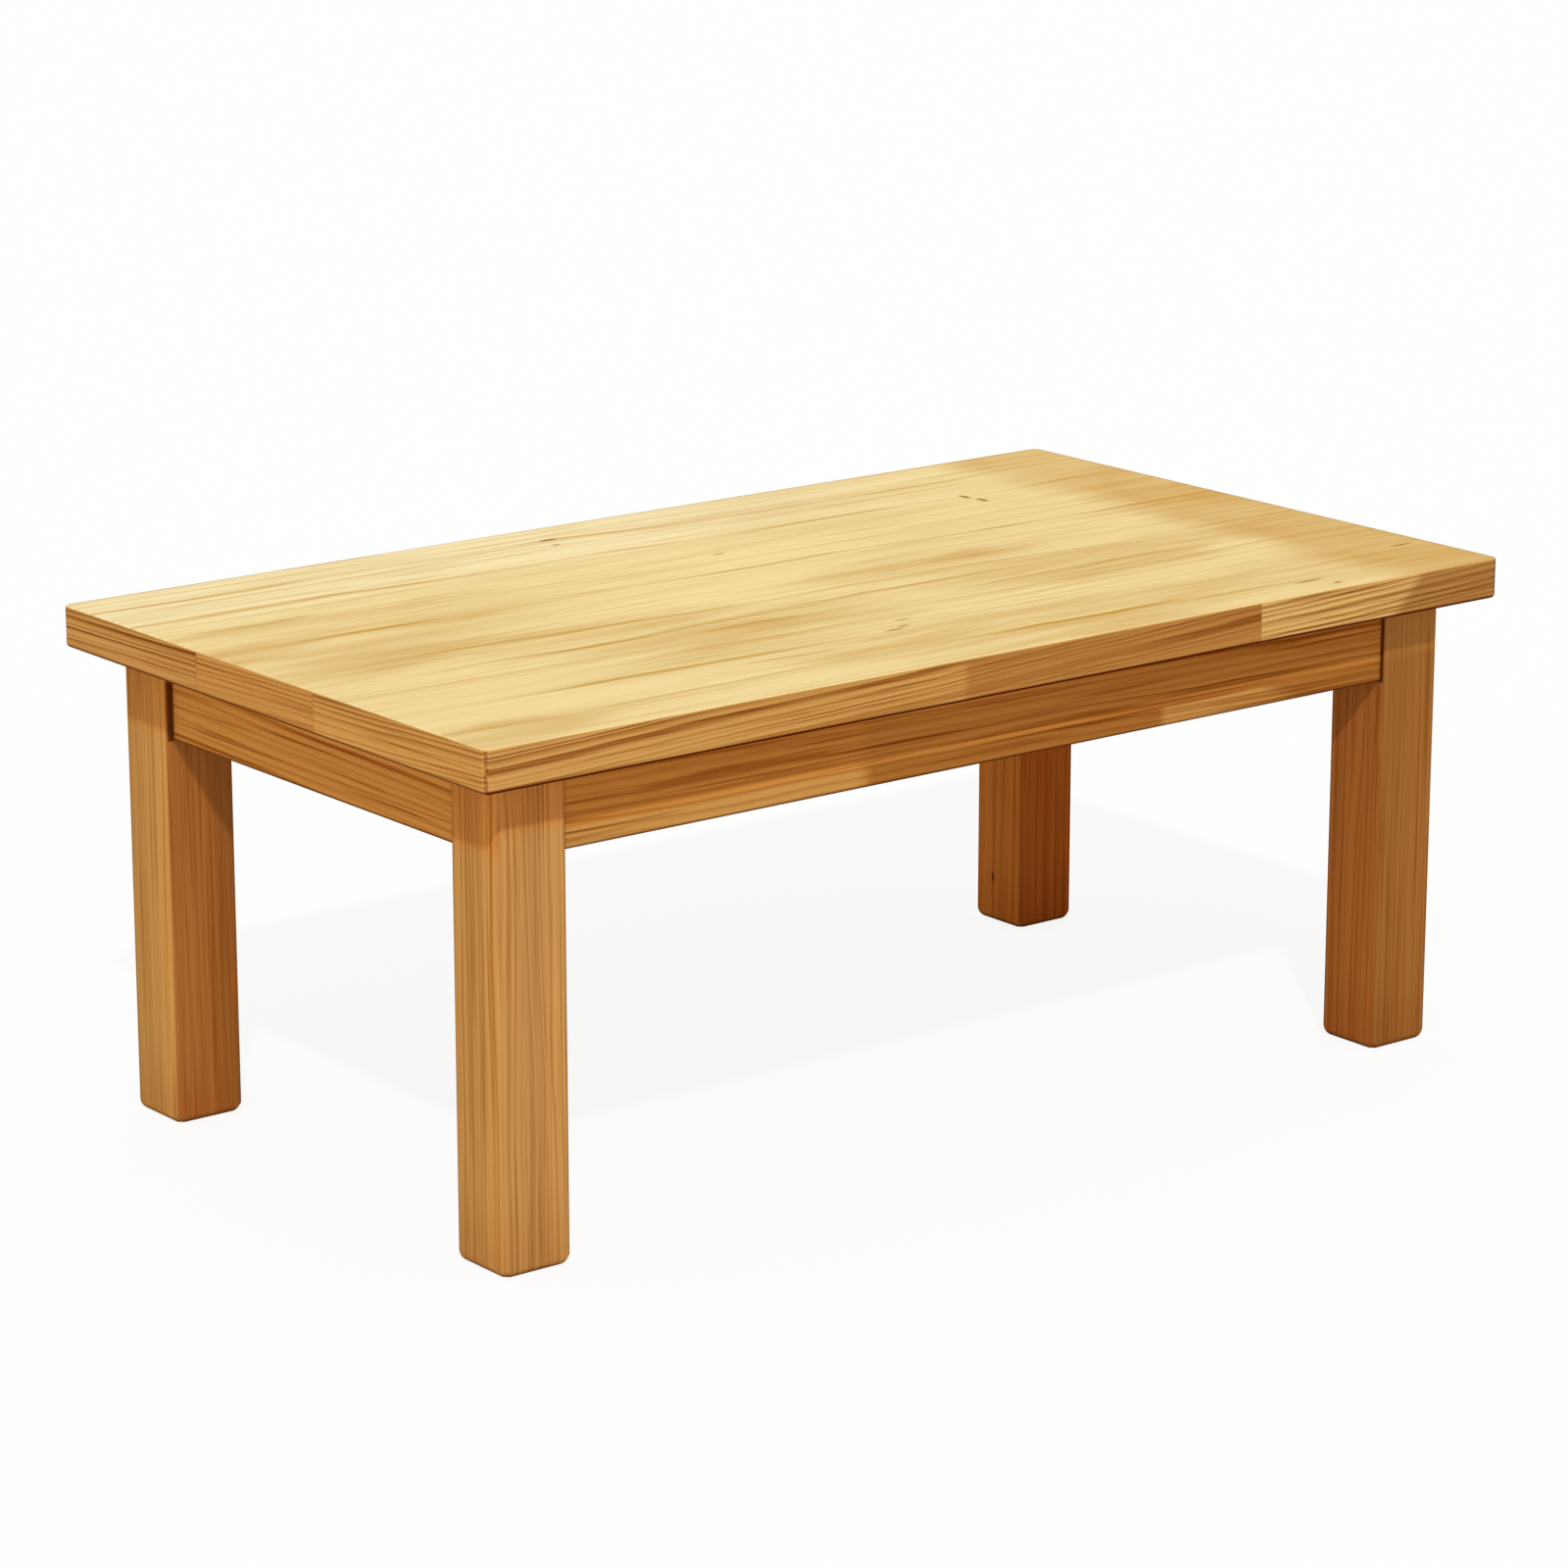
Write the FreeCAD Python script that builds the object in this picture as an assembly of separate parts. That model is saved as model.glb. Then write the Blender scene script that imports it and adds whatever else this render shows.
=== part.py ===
import FreeCAD, Part
import math
import os

# Kotatsu table: a lift-off veneered top, a bolted pine frame, and a fan heater hung under its centre.
# Millimetres. +Z is up, +X runs along the long side and -Y is the front.
# The origin lies on the floor, under the middle of the table.

# Tabletop
TOP_LENGTH = 1050.0
TOP_WIDTH = 600.0
TOP_THICKNESS = 35.0
TOP_OVERHANG_ENDS = 35.0
TOP_OVERHANG_SIDES = 35.0
TOP_CORNER_RADIUS = 6.0
UPPER_ARRIS_RADIUS = 1.8
LOWER_ARRIS_RADIUS = 3.5
VENEER_THICKNESS = 1.0
BOARD_THICKNESS = 4.0
EDGE_BAND_THICKNESS = 8.0
CORE_STILE_WIDTH = 40.0
CORE_RIB_WIDTH = 30.0
CORE_RIB_COUNT = 5

# Frame
FRAME_HEIGHT = 394.0
LEG_SIZE = 63.0
LEG_EDGE_RADIUS = 4.0
FOOT_EDGE_RADIUS = 7.0
FOOT_CORNER_RADIUS = 11.0
FOOT_CORNER_ROOM = 0.3
APRON_HEIGHT = 65.0
APRON_THICKNESS = 22.0
APRON_ARRIS_RADIUS = 1.5
LONG_APRON_RECESS = 4.0
SHORT_APRON_RECESS = 7.0

# Grip pads let into the tops of the legs
PAD_RADIUS = 10.0
PAD_THICKNESS = 3.0
PAD_STANDOFF = 1.0
PAD_CLEARANCE = 0.3

# Dowels between the legs and the aprons
DOWEL_RADIUS = 4.0
DOWEL_LENGTH = 40.0
DOWEL_EDGE_INSET = 16.0

# Steel corner brackets, each pulled onto its leg by one hanger bolt
LEG_FLAT_DEPTH = 12.0
BRACKET_THICKNESS = 2.0
BRACKET_HEIGHT = 38.0
BRACKET_TOP_INSET = 12.0
BRACKET_FLANGE = 30.0
BRACKET_GAP = 3.0
BRACKET_SCREW_SPREAD = 10.0
BRACKET_SCREW_RADIUS = 2.0
BRACKET_SCREW_LENGTH = 16.0
BRACKET_HEAD_RADIUS = 3.8
BRACKET_HEAD_HEIGHT = 2.2
HANGER_RADIUS = 4.0
HANGER_GRIP = 36.0
HANGER_TAIL = 20.0
WASHER_RADIUS = 9.0
WASHER_THICKNESS = 1.6
NUT_HUB_RADIUS = 7.5
NUT_HUB_HEIGHT = 11.0
NUT_WING_SPAN = 34.0
NUT_WING_HEIGHT = 13.0
NUT_WING_THICKNESS = 3.0
NUT_WING_RISE = 5.0

# Rails that frame the square bay of the heater
RAIL_WIDTH = 45.0
RAIL_THICKNESS = 24.0
RAIL_TOP_DROP = 2.0
RAIL_DOWEL_RADIUS = 4.0
RAIL_DOWEL_LENGTH = 24.0
RAIL_DOWEL_SPREAD = 11.0

# Heater housing, a steel pan whose flange is screwed up against the rails
HOUSING_SHEET = 0.8
HOUSING_CLEARANCE = 6.0
HOUSING_TOP_DROP = 2.0
HOUSING_CORNER_RADIUS = 12.0
FLANGE_LAP = 18.0
FLANGE_CORNER_RADIUS = 10.0
VENT_WIDTH = 4.0
VENT_LENGTH = 34.0
VENT_PITCH = 10.0
VENT_COUNT = 7
VENT_ROW_OFFSET = 52.0
MOUNT_SCREW_LAP = 9.0
MOUNT_SCREW_BAY_INSET = 12.0
MOUNT_SCREW_RADIUS = 2.1
MOUNT_SCREW_LENGTH = 18.0
MOUNT_HEAD_RADIUS = 4.2
MOUNT_HEAD_HEIGHT = 2.6

# Reflector, a bright tray with one trough over each tube
REFLECTOR_SHEET = 0.6
REFLECTOR_SIDE_GAP = 0.4
REFLECTOR_WALL_DEPTH = 18.0
RIM_LAP = 8.0
TROUGH_RADIUS = 17.4
FAN_HOLE_RADIUS = 46.0

# Quartz tubes, whose length sets the bay
TUBE_BAY_INSET = 66.0
TUBE_DROP = 9.0
TUBE_LENGTH = 210.0
TUBE_END_ROOM = 45.0
TUBE_RADIUS = 6.0
TUBE_WALL = 1.2
COIL_RADIUS = 3.2
CAP_RADIUS = 7.5
CAP_LENGTH = 26.0
CAP_GRIP = 6.0
CAP_STICKOUT = 7.0
HOLDER_SHEET = 0.8
HOLDER_WIDTH = 24.0
HOLDER_FOOT = 9.0
HOLDER_EDGE = 3.0

# Guard, a skirt with a basket of wires butted and welded to its inner side
SKIRT_INSET = 4.0
SKIRT_SHEET = 1.0
SKIRT_DEPTH = 26.0
SKIRT_CORNER_RADIUS = 10.0
GUARD_WIRE_RADIUS = 1.2
GUARD_WIRE_COUNT = 19
GUARD_TIE_COUNT = 3
GUARD_DEPTH = 18.0
GUARD_SLOPE_RUN = 22.0
GUARD_BEND_RADIUS = 8.0
GUARD_WIRE_INSET = 3.0
GUARD_SIDE_INSET = 12.0
GUARD_SCREW_BAY_INSET = 80.0
GUARD_SCREW_LAP = 3.0
GUARD_SCREW_RADIUS = 1.5
GUARD_SCREW_LENGTH = 8.0
GUARD_HEAD_RADIUS = 3.0
GUARD_HEAD_HEIGHT = 1.8

# Fan and its motor
MOTOR_RADIUS = 23.0
MOTOR_HEIGHT = 24.0
MOTOR_WALL = 1.0
MOTOR_CAP_THICKNESS = 2.0
STATOR_BORE_RADIUS = 12.0
STATOR_HEIGHT = 14.0
STATOR_TOP_INSET = 3.0
ROTOR_GAP = 0.6
ROTOR_HEIGHT = 10.0
SHAFT_RADIUS = 1.5
SHAFT_TOP_INSET = 2.0
BUSH_RADIUS = 4.0
BUSH_DEPTH = 2.5
MOTOR_SCREW_OFFSET = 15.0
MOTOR_SCREW_RADIUS = 1.5
MOTOR_SCREW_LENGTH = 4.0
MOTOR_HEAD_RADIUS = 2.8
MOTOR_HEAD_HEIGHT = 1.6
FAN_RADIUS = 42.0
FAN_GAP = 4.0
FAN_HUB_RADIUS = 11.0
FAN_HUB_HEIGHT = 14.0
FAN_BLADE_COUNT = 6
FAN_BLADE_THICKNESS = 1.4
FAN_BLADE_CHORD = 20.0
FAN_BLADE_PITCH_DEGREES = 32.0

# Thermostat and thermal fuse, on the back of the reflector
THERMOSTAT_WALL_GAP = 5.0
THERMOSTAT_LENGTH = 22.0
THERMOSTAT_WIDTH = 16.0
THERMOSTAT_HEIGHT = 8.0
SENSOR_RADIUS = 7.0
SENSOR_HEIGHT = 3.0
FUSE_OFFSET = 40.0
FUSE_LENGTH = 12.0
FUSE_RADIUS = 2.0
FUSE_POST_WIDTH = 3.0

# Power inlet, under the flange at the left end
INLET_BAY_INSET = 41.0
INLET_DEPTH = 36.0
INLET_WIDTH = 40.0
INLET_HEIGHT = 22.0
INLET_EDGE_RADIUS = 2.0
RECESS_DEPTH = 18.0
RECESS_WIDTH = 26.0
RECESS_HEIGHT = 13.0
PIN_RADIUS = 2.0
PIN_LENGTH = 12.0
PIN_ROOT = 6.0
PIN_SPREAD = 6.35
INLET_SCREW_SPREAD = 15.0
INLET_SCREW_SETBACK = 7.0
INLET_SCREW_OVERLAP = 5.0
INLET_SCREW_RADIUS = 1.5
INLET_HEAD_RADIUS = 2.8
INLET_HEAD_HEIGHT = 1.6

# Inner wiring
WIRE_RADIUS = 1.0
WIRE_BEND = 4.0
WIRE_HOLE_RADIUS = 2.0
WIRE_LANE = 4.0
WIRE_TURN_RUN = 9.0
WIRE_WALL_GAP = 7.0

# Shared fits
FIT = 0.1
RUNNING_FIT = 0.05
OVERRUN = 5.0
SAME_PLACE = 0.001
FULL_TURN_DEGREES = 360.0

ORIGIN = FreeCAD.Vector(0, 0, 0)
X_AXIS = FreeCAD.Vector(1, 0, 0)
Y_AXIS = FreeCAD.Vector(0, 1, 0)
Z_AXIS = FreeCAD.Vector(0, 0, 1)

# Places worked out from the sizes above
TOP_LOW = FRAME_HEIGHT + PAD_STANDOFF
TOP_HIGH = TOP_LOW + TOP_THICKNESS
PAST_TOP_X = TOP_LENGTH / 2 + OVERRUN
PAST_TOP_Y = TOP_WIDTH / 2 + OVERRUN
CORE_HALF_X = TOP_LENGTH / 2 - EDGE_BAND_THICKNESS
CORE_HALF_Y = TOP_WIDTH / 2 - EDGE_BAND_THICKNESS
CORE_LOW = TOP_LOW + BOARD_THICKNESS
CORE_HIGH = TOP_HIGH - VENEER_THICKNESS - BOARD_THICKNESS

LEG_OUT_X = TOP_LENGTH / 2 - TOP_OVERHANG_ENDS
LEG_OUT_Y = TOP_WIDTH / 2 - TOP_OVERHANG_SIDES
LEG_IN_X = LEG_OUT_X - LEG_SIZE
LEG_IN_Y = LEG_OUT_Y - LEG_SIZE
LEG_MID_X = LEG_OUT_X - LEG_SIZE / 2
LEG_MID_Y = LEG_OUT_Y - LEG_SIZE / 2
APRON_LOW = FRAME_HEIGHT - APRON_HEIGHT
LONG_APRON_OUT = LEG_OUT_Y - LONG_APRON_RECESS
LONG_APRON_IN = LONG_APRON_OUT - APRON_THICKNESS
SHORT_APRON_OUT = LEG_OUT_X - SHORT_APRON_RECESS
SHORT_APRON_IN = SHORT_APRON_OUT - APRON_THICKNESS

BRACKET_HIGH = FRAME_HEIGHT - BRACKET_TOP_INSET
BRACKET_LOW = BRACKET_HIGH - BRACKET_HEIGHT
BRACKET_MID = (BRACKET_LOW + BRACKET_HIGH) / 2

RAIL_HIGH = FRAME_HEIGHT - RAIL_TOP_DROP
RAIL_LOW = RAIL_HIGH - RAIL_THICKNESS
RAIL_MID = (RAIL_LOW + RAIL_HIGH) / 2
BAY_HALF = TUBE_LENGTH / 2 + TUBE_END_ROOM
RAIL_OUT = BAY_HALF + RAIL_WIDTH
CROSS_RAIL_WIDTH = (LONG_APRON_IN - BAY_HALF) / 2
CROSS_RAIL_OUT = BAY_HALF + CROSS_RAIL_WIDTH
CROSS_RAIL_DOWEL_SPREAD = CROSS_RAIL_WIDTH / 4
MOUNT_SCREW_SPREAD = BAY_HALF - MOUNT_SCREW_BAY_INSET
GUARD_SCREW_SPREAD = BAY_HALF - GUARD_SCREW_BAY_INSET
INLET_OFFSET = BAY_HALF - INLET_BAY_INSET
TUBE_OFFSET = BAY_HALF - TUBE_BAY_INSET

FLANGE_LOW = RAIL_LOW - HOUSING_SHEET
HOUSING_HIGH = RAIL_HIGH - HOUSING_TOP_DROP
HOUSING_HALF = BAY_HALF - HOUSING_CLEARANCE
HOUSING_IN_HALF = HOUSING_HALF - HOUSING_SHEET
HOUSING_CEILING = HOUSING_HIGH - HOUSING_SHEET
FLANGE_HALF = BAY_HALF + FLANGE_LAP

PLATE_LOW = FLANGE_LOW - REFLECTOR_SHEET
RIM_HALF = HOUSING_HALF + RIM_LAP
LIP_LOW = PLATE_LOW - SKIRT_SHEET
SKIRT_HALF = HOUSING_HALF - SKIRT_INSET
SKIRT_IN_HALF = SKIRT_HALF - SKIRT_SHEET
SKIRT_LOW = PLATE_LOW - SKIRT_DEPTH
TRAY_HALF = SKIRT_IN_HALF - REFLECTOR_SIDE_GAP
TRAY_LOW = PLATE_LOW - REFLECTOR_WALL_DEPTH
TUBE_LEVEL = PLATE_LOW - TUBE_DROP
CAP_START = TUBE_LENGTH / 2 - CAP_GRIP
CAP_END = CAP_START + CAP_LENGTH
TROUGH_LENGTH = 2 * (CAP_END - CAP_STICKOUT)
TROUGH_END = TROUGH_LENGTH / 2 + REFLECTOR_SHEET

MOTOR_LOW = HOUSING_CEILING - MOTOR_HEIGHT
FAN_HIGH = MOTOR_LOW - FAN_GAP
FAN_LOW = FAN_HIGH - FAN_HUB_HEIGHT
SHAFT_HIGH = HOUSING_CEILING - MOTOR_WALL - SHAFT_TOP_INSET

INLET_NEAR = -SKIRT_HALF
INLET_FAR = INLET_NEAR - INLET_DEPTH
INLET_LOW = LIP_LOW - INLET_HEIGHT
INLET_MID = LIP_LOW - INLET_HEIGHT / 2
RECESS_FLOOR = INLET_FAR + RECESS_DEPTH

SENSOR_HIGH = FLANGE_LOW + SENSOR_HEIGHT
WIRE_LEVEL = SENSOR_HIGH + THERMOSTAT_HEIGHT / 2
RISER_Y = TRAY_HALF - WIRE_WALL_GAP / 2
THERMOSTAT_Y = -(HOUSING_IN_HALF - THERMOSTAT_WALL_GAP - THERMOSTAT_WIDTH / 2)
THERMOSTAT_BACK = THERMOSTAT_Y + THERMOSTAT_WIDTH / 2
INLET_RISER_X = -(SKIRT_HALF + HOUSING_IN_HALF) / 2


def point(x, y, z):
    return FreeCAD.Vector(x, y, z)


def block(low, high):
    """Box between two opposite corners."""
    size = high - low
    return Part.makeBox(size.x, size.y, size.z, low)


def slab(half_x, half_y, low, high):
    """Box centred on the table's vertical axis."""
    return block(point(-half_x, -half_y, low), point(half_x, half_y, high))


def rod(radius, start, end):
    """Cylinder from one point to another."""
    along = end - start
    return Part.makeCylinder(radius, along.Length, start, along)


def prism(outline, low, high):
    """Upright prism on a closed outline of (x, y) pairs."""
    corners = [point(x, y, low) for x, y in outline]
    face = Part.Face(Part.makePolygon(corners + corners[:1]))
    return face.extrude(Z_AXIS * (high - low))


def is_upright(edge):
    return edge.BoundBox.ZLength > edge.BoundBox.XLength + edge.BoundBox.YLength


def is_level_at(edge, level):
    """Whether an edge lies flat at one height."""
    return abs(edge.BoundBox.ZMin - level) < SAME_PLACE and abs(edge.BoundBox.ZMax - level) < SAME_PLACE


def round_uprights(shape, radius):
    """Round the vertical corners of a plain box."""
    return shape.makeFillet(radius, [edge for edge in shape.Edges if is_upright(edge)])


def rounded_slab(half, radius, low, high):
    """Square slab about the table's vertical axis, with rounded corners."""
    return round_uprights(slab(half, half, low, high), radius)


def mirrored(shape, flip_x, flip_y):
    """Copy of a piece in another quarter of the table."""
    result = shape
    if flip_x:
        result = result.mirror(ORIGIN, X_AXIS)
    if flip_y:
        result = result.mirror(ORIGIN, Y_AXIS)
    return result


def four_ways(shapes):
    """Copies of the pieces in all four quarters."""
    quarters = [(False, False), (True, False), (False, True), (True, True)]
    return [mirrored(shape, flip_x, flip_y) for flip_x, flip_y in quarters for shape in shapes]


def save(name, shapes):
    """Write one sub-part, made of one solid or of a group of like solids."""
    whole = shapes[0] if len(shapes) == 1 else Part.makeCompound(shapes)
    whole.exportStep("parts/" + name + ".step")


# Tabletop

def panel_blank():
    """The whole tabletop as one rounded block."""
    blank = slab(TOP_LENGTH / 2, TOP_WIDTH / 2, TOP_LOW, TOP_HIGH)
    blank = round_uprights(blank, TOP_CORNER_RADIUS)
    for level, radius in ((TOP_HIGH, UPPER_ARRIS_RADIUS), (TOP_LOW, LOWER_ARRIS_RADIUS)):
        blank = blank.makeFillet(radius, [edge for edge in blank.Edges if is_level_at(edge, level)])
    return blank


def face_veneer(blank):
    return blank.common(slab(PAST_TOP_X, PAST_TOP_Y, TOP_HIGH - VENEER_THICKNESS, TOP_HIGH + OVERRUN))


def edge_band_ring(blank):
    below_veneer = TOP_HIGH - VENEER_THICKNESS
    ring = blank.common(slab(PAST_TOP_X, PAST_TOP_Y, TOP_LOW - OVERRUN, below_veneer))
    return ring.cut(slab(CORE_HALF_X, CORE_HALF_Y, TOP_LOW - OVERRUN, TOP_HIGH + OVERRUN))


def long_edge_band(ring):
    """Band along the front, mitred at both corners."""
    wedge = [(-PAST_TOP_X, -PAST_TOP_Y), (PAST_TOP_X, -PAST_TOP_Y)]
    wedge += [(CORE_HALF_X, -CORE_HALF_Y), (-CORE_HALF_X, -CORE_HALF_Y)]
    return ring.common(prism(wedge, TOP_LOW - OVERRUN, TOP_HIGH + OVERRUN))


def short_edge_band(ring):
    """Band along the left end, mitred at both corners."""
    wedge = [(-PAST_TOP_X, -PAST_TOP_Y), (-CORE_HALF_X, -CORE_HALF_Y)]
    wedge += [(-CORE_HALF_X, CORE_HALF_Y), (-PAST_TOP_X, PAST_TOP_Y)]
    return ring.common(prism(wedge, TOP_LOW - OVERRUN, TOP_HIGH + OVERRUN))


def core_stiles():
    inner = CORE_HALF_Y - CORE_STILE_WIDTH
    stile = block(point(-CORE_HALF_X, inner, CORE_LOW), point(CORE_HALF_X, CORE_HALF_Y, CORE_HIGH))
    return [stile, mirrored(stile, False, True)]


def rib_pitch():
    return (2 * CORE_HALF_X - CORE_RIB_WIDTH) / (CORE_RIB_COUNT - 1)


def core_ribs():
    half_y = CORE_HALF_Y - CORE_STILE_WIDTH
    ribs = []
    for number in range(CORE_RIB_COUNT):
        left = -CORE_HALF_X + number * rib_pitch()
        ribs.append(block(point(left, -half_y, CORE_LOW), point(left + CORE_RIB_WIDTH, half_y, CORE_HIGH)))
    return ribs


def core_fillings():
    """Paper honeycomb between the ribs, as plain blocks."""
    half_y = CORE_HALF_Y - CORE_STILE_WIDTH
    fillings = []
    for number in range(CORE_RIB_COUNT - 1):
        left = -CORE_HALF_X + number * rib_pitch() + CORE_RIB_WIDTH
        right = -CORE_HALF_X + (number + 1) * rib_pitch()
        fillings.append(block(point(left, -half_y, CORE_LOW), point(right, half_y, CORE_HIGH)))
    return fillings


# Legs, aprons and what joins them

def apron_dowels(radius):
    """Dowels at one corner: two into the long apron and two into the short one."""
    reach = DOWEL_LENGTH / 2
    apron_y = LONG_APRON_OUT - APRON_THICKNESS / 2
    apron_x = SHORT_APRON_OUT - APRON_THICKNESS / 2
    rods = []
    for level in (APRON_LOW + DOWEL_EDGE_INSET, FRAME_HEIGHT - DOWEL_EDGE_INSET):
        start_x = point(LEG_IN_X - reach, apron_y, level)
        start_y = point(apron_x, LEG_IN_Y - reach, level)
        rods.append(rod(radius, start_x, start_x + X_AXIS * DOWEL_LENGTH))
        rods.append(rod(radius, start_y, start_y + Y_AXIS * DOWEL_LENGTH))
    return rods


def diagonal():
    """Unit direction from the table's middle out to a leg, along the hanger bolt."""
    return point(1, 1, 0).normalize()


def leg_flat_middle():
    shift = LEG_FLAT_DEPTH / 2
    return point(LEG_IN_X + shift, LEG_IN_Y + shift, BRACKET_MID)


def bracket_face():
    """Middle of the bracket's side that looks into the table, on the bolt's axis."""
    return leg_flat_middle() - diagonal() * (BRACKET_GAP + BRACKET_THICKNESS)


def hanger_bolt(radius):
    tip = leg_flat_middle() + diagonal() * HANGER_GRIP
    tail = bracket_face() - diagonal() * HANGER_TAIL
    return rod(radius, tail, tip)


def round_foot(blank, radius):
    return blank.makeFillet(radius, [edge for edge in blank.Edges if is_level_at(edge, 0)])


def foot_corners():
    """Diamond whose sides pass just outside the leg's corners and round them near the floor."""
    reach = LEG_SIZE + FOOT_CORNER_ROOM - LEG_EDGE_RADIUS * (2 - math.sqrt(2))
    ways = [(1, 0), (0, 1), (-1, 0), (0, -1)]
    outline = [(LEG_MID_X + reach * x, LEG_MID_Y + reach * y) for x, y in ways]
    return round_foot(prism(outline, 0, FRAME_HEIGHT), FOOT_CORNER_RADIUS)


def leg():
    """Leg of the back right corner, with a flat for the bracket on its inner corner."""
    blank = block(point(LEG_IN_X, LEG_IN_Y, 0), point(LEG_OUT_X, LEG_OUT_Y, FRAME_HEIGHT))
    footed = round_foot(blank, FOOT_EDGE_RADIUS).common(foot_corners())
    blank = round_uprights(blank, LEG_EDGE_RADIUS).common(footed)
    low_x = LEG_IN_X - OVERRUN
    low_y = LEG_IN_Y - OVERRUN
    side = LEG_FLAT_DEPTH + 2 * OVERRUN
    flat = [(low_x, low_y), (low_x + side, low_y), (low_x, low_y + side)]
    notch_low = BRACKET_LOW - BRACKET_GAP
    pocket_floor = point(LEG_MID_X, LEG_MID_Y, TOP_LOW - PAD_THICKNESS)
    pocket_mouth = point(LEG_MID_X, LEG_MID_Y, FRAME_HEIGHT + OVERRUN)
    cuts = [prism(flat, notch_low, FRAME_HEIGHT + OVERRUN)]
    cuts.append(rod(PAD_RADIUS + PAD_CLEARANCE, pocket_floor, pocket_mouth))
    cuts.append(hanger_bolt(HANGER_RADIUS + FIT))
    return blank.cut(cuts + apron_dowels(DOWEL_RADIUS + FIT))


def grip_pad():
    top = point(LEG_MID_X, LEG_MID_Y, TOP_LOW)
    return rod(PAD_RADIUS, top - Z_AXIS * PAD_THICKNESS, top)


def bracket_line():
    """Sum of x and y on the bracket's side that faces the leg."""
    return LEG_IN_X + LEG_IN_Y + LEG_FLAT_DEPTH - BRACKET_GAP * math.sqrt(2)


def bracket_outline():
    outer = bracket_line()
    inner = outer - BRACKET_THICKNESS * math.sqrt(2)
    long_end = outer - LONG_APRON_IN - BRACKET_FLANGE
    short_end = outer - SHORT_APRON_IN - BRACKET_FLANGE
    long_face = LONG_APRON_IN - BRACKET_THICKNESS
    short_face = SHORT_APRON_IN - BRACKET_THICKNESS
    outline = [(long_end, LONG_APRON_IN), (outer - LONG_APRON_IN, LONG_APRON_IN)]
    outline += [(SHORT_APRON_IN, outer - SHORT_APRON_IN), (SHORT_APRON_IN, short_end)]
    outline += [(short_face, short_end), (short_face, inner - short_face)]
    outline += [(inner - long_face, long_face), (long_end, long_face)]
    return outline


def bracket_screw_places():
    """Head seats on both flanges of one bracket, each with its driving direction."""
    along_long = bracket_line() - LONG_APRON_IN - BRACKET_FLANGE / 2
    along_short = bracket_line() - SHORT_APRON_IN - BRACKET_FLANGE / 2
    places = []
    for level in (BRACKET_MID - BRACKET_SCREW_SPREAD, BRACKET_MID + BRACKET_SCREW_SPREAD):
        places.append((point(along_long, LONG_APRON_IN - BRACKET_THICKNESS, level), Y_AXIS))
        places.append((point(SHORT_APRON_IN - BRACKET_THICKNESS, along_short, level), X_AXIS))
    return places


def screw(seat, way, shank_radius, length, head_radius, head_height):
    """Screw with a domed pan head that sits on a surface at seat and is driven along way."""
    shank = rod(shank_radius, seat, seat + way * length)
    head = rod(head_radius, seat - way * head_height, seat)
    crown = [edge for edge in head.Edges if is_far_rim(edge, seat, head_height)]
    head = head.makeFillet(head_height / 2, crown)
    return head.fuse(shank).removeSplitter()


def is_far_rim(edge, seat, head_height):
    """Whether an edge is the round rim on the free end of a screw's head."""
    if edge.Curve.TypeId != "Part::GeomCircle":
        return False
    return (edge.Curve.Center - seat).Length > head_height / 2


def bracket_screws():
    return [screw(seat, way, BRACKET_SCREW_RADIUS, BRACKET_SCREW_LENGTH,
                  BRACKET_HEAD_RADIUS, BRACKET_HEAD_HEIGHT) for seat, way in bracket_screw_places()]


def bracket_screw_bores():
    radius = BRACKET_SCREW_RADIUS + FIT
    return [rod(radius, seat - way * OVERRUN, seat + way * BRACKET_SCREW_LENGTH)
            for seat, way in bracket_screw_places()]


def corner_bracket():
    plate = prism(bracket_outline(), BRACKET_LOW, BRACKET_HIGH)
    return plate.cut(bracket_screw_bores() + [hanger_bolt(HANGER_RADIUS + FIT)])


def washer():
    face = bracket_face()
    ring = rod(WASHER_RADIUS, face, face - diagonal() * WASHER_THICKNESS)
    return ring.cut(hanger_bolt(HANGER_RADIUS + FIT))


def wing_nut():
    """Round hub with two upright wings, seated on the washer."""
    seat = bracket_face() - diagonal() * WASHER_THICKNESS
    hub = rod(NUT_HUB_RADIUS, seat, seat - diagonal() * NUT_HUB_HEIGHT)
    half_span = NUT_WING_SPAN / 2
    half_thick = NUT_WING_THICKNESS / 2
    rise = NUT_HUB_HEIGHT + NUT_WING_RISE
    tip_low = rise - NUT_WING_HEIGHT / 2
    root_low = NUT_WING_RISE / 2
    right_side = [(NUT_HUB_RADIUS, root_low), (half_span, tip_low)]
    right_side += [(half_span, rise), (NUT_HUB_RADIUS, rise - NUT_WING_RISE)]
    left_side = [(-across, up) for across, up in right_side[::-1]]
    outline = [point(across, -half_thick, up) for across, up in right_side + left_side]
    face = Part.Face(Part.makePolygon(outline + outline[:1]))
    wings = face.extrude(Y_AXIS * NUT_WING_THICKNESS)
    turn = FreeCAD.Rotation(Z_AXIS, diagonal() * -1)
    wings.Placement = FreeCAD.Placement(seat, turn)
    return hub.fuse(wings).cut(hanger_bolt(HANGER_RADIUS + FIT)).removeSplitter()


def apron_tools():
    """Everything that bores into the aprons."""
    tools = four_ways(apron_dowels(DOWEL_RADIUS + FIT) + bracket_screw_bores())
    return tools + long_rail_dowels(RAIL_DOWEL_RADIUS + FIT)


def soften_apron(blank, is_arris):
    """Round the long arrises of an apron's show face."""
    arrises = [edge for edge in blank.Edges if is_arris(edge.BoundBox)]
    return blank.makeFillet(APRON_ARRIS_RADIUS, arrises)


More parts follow.
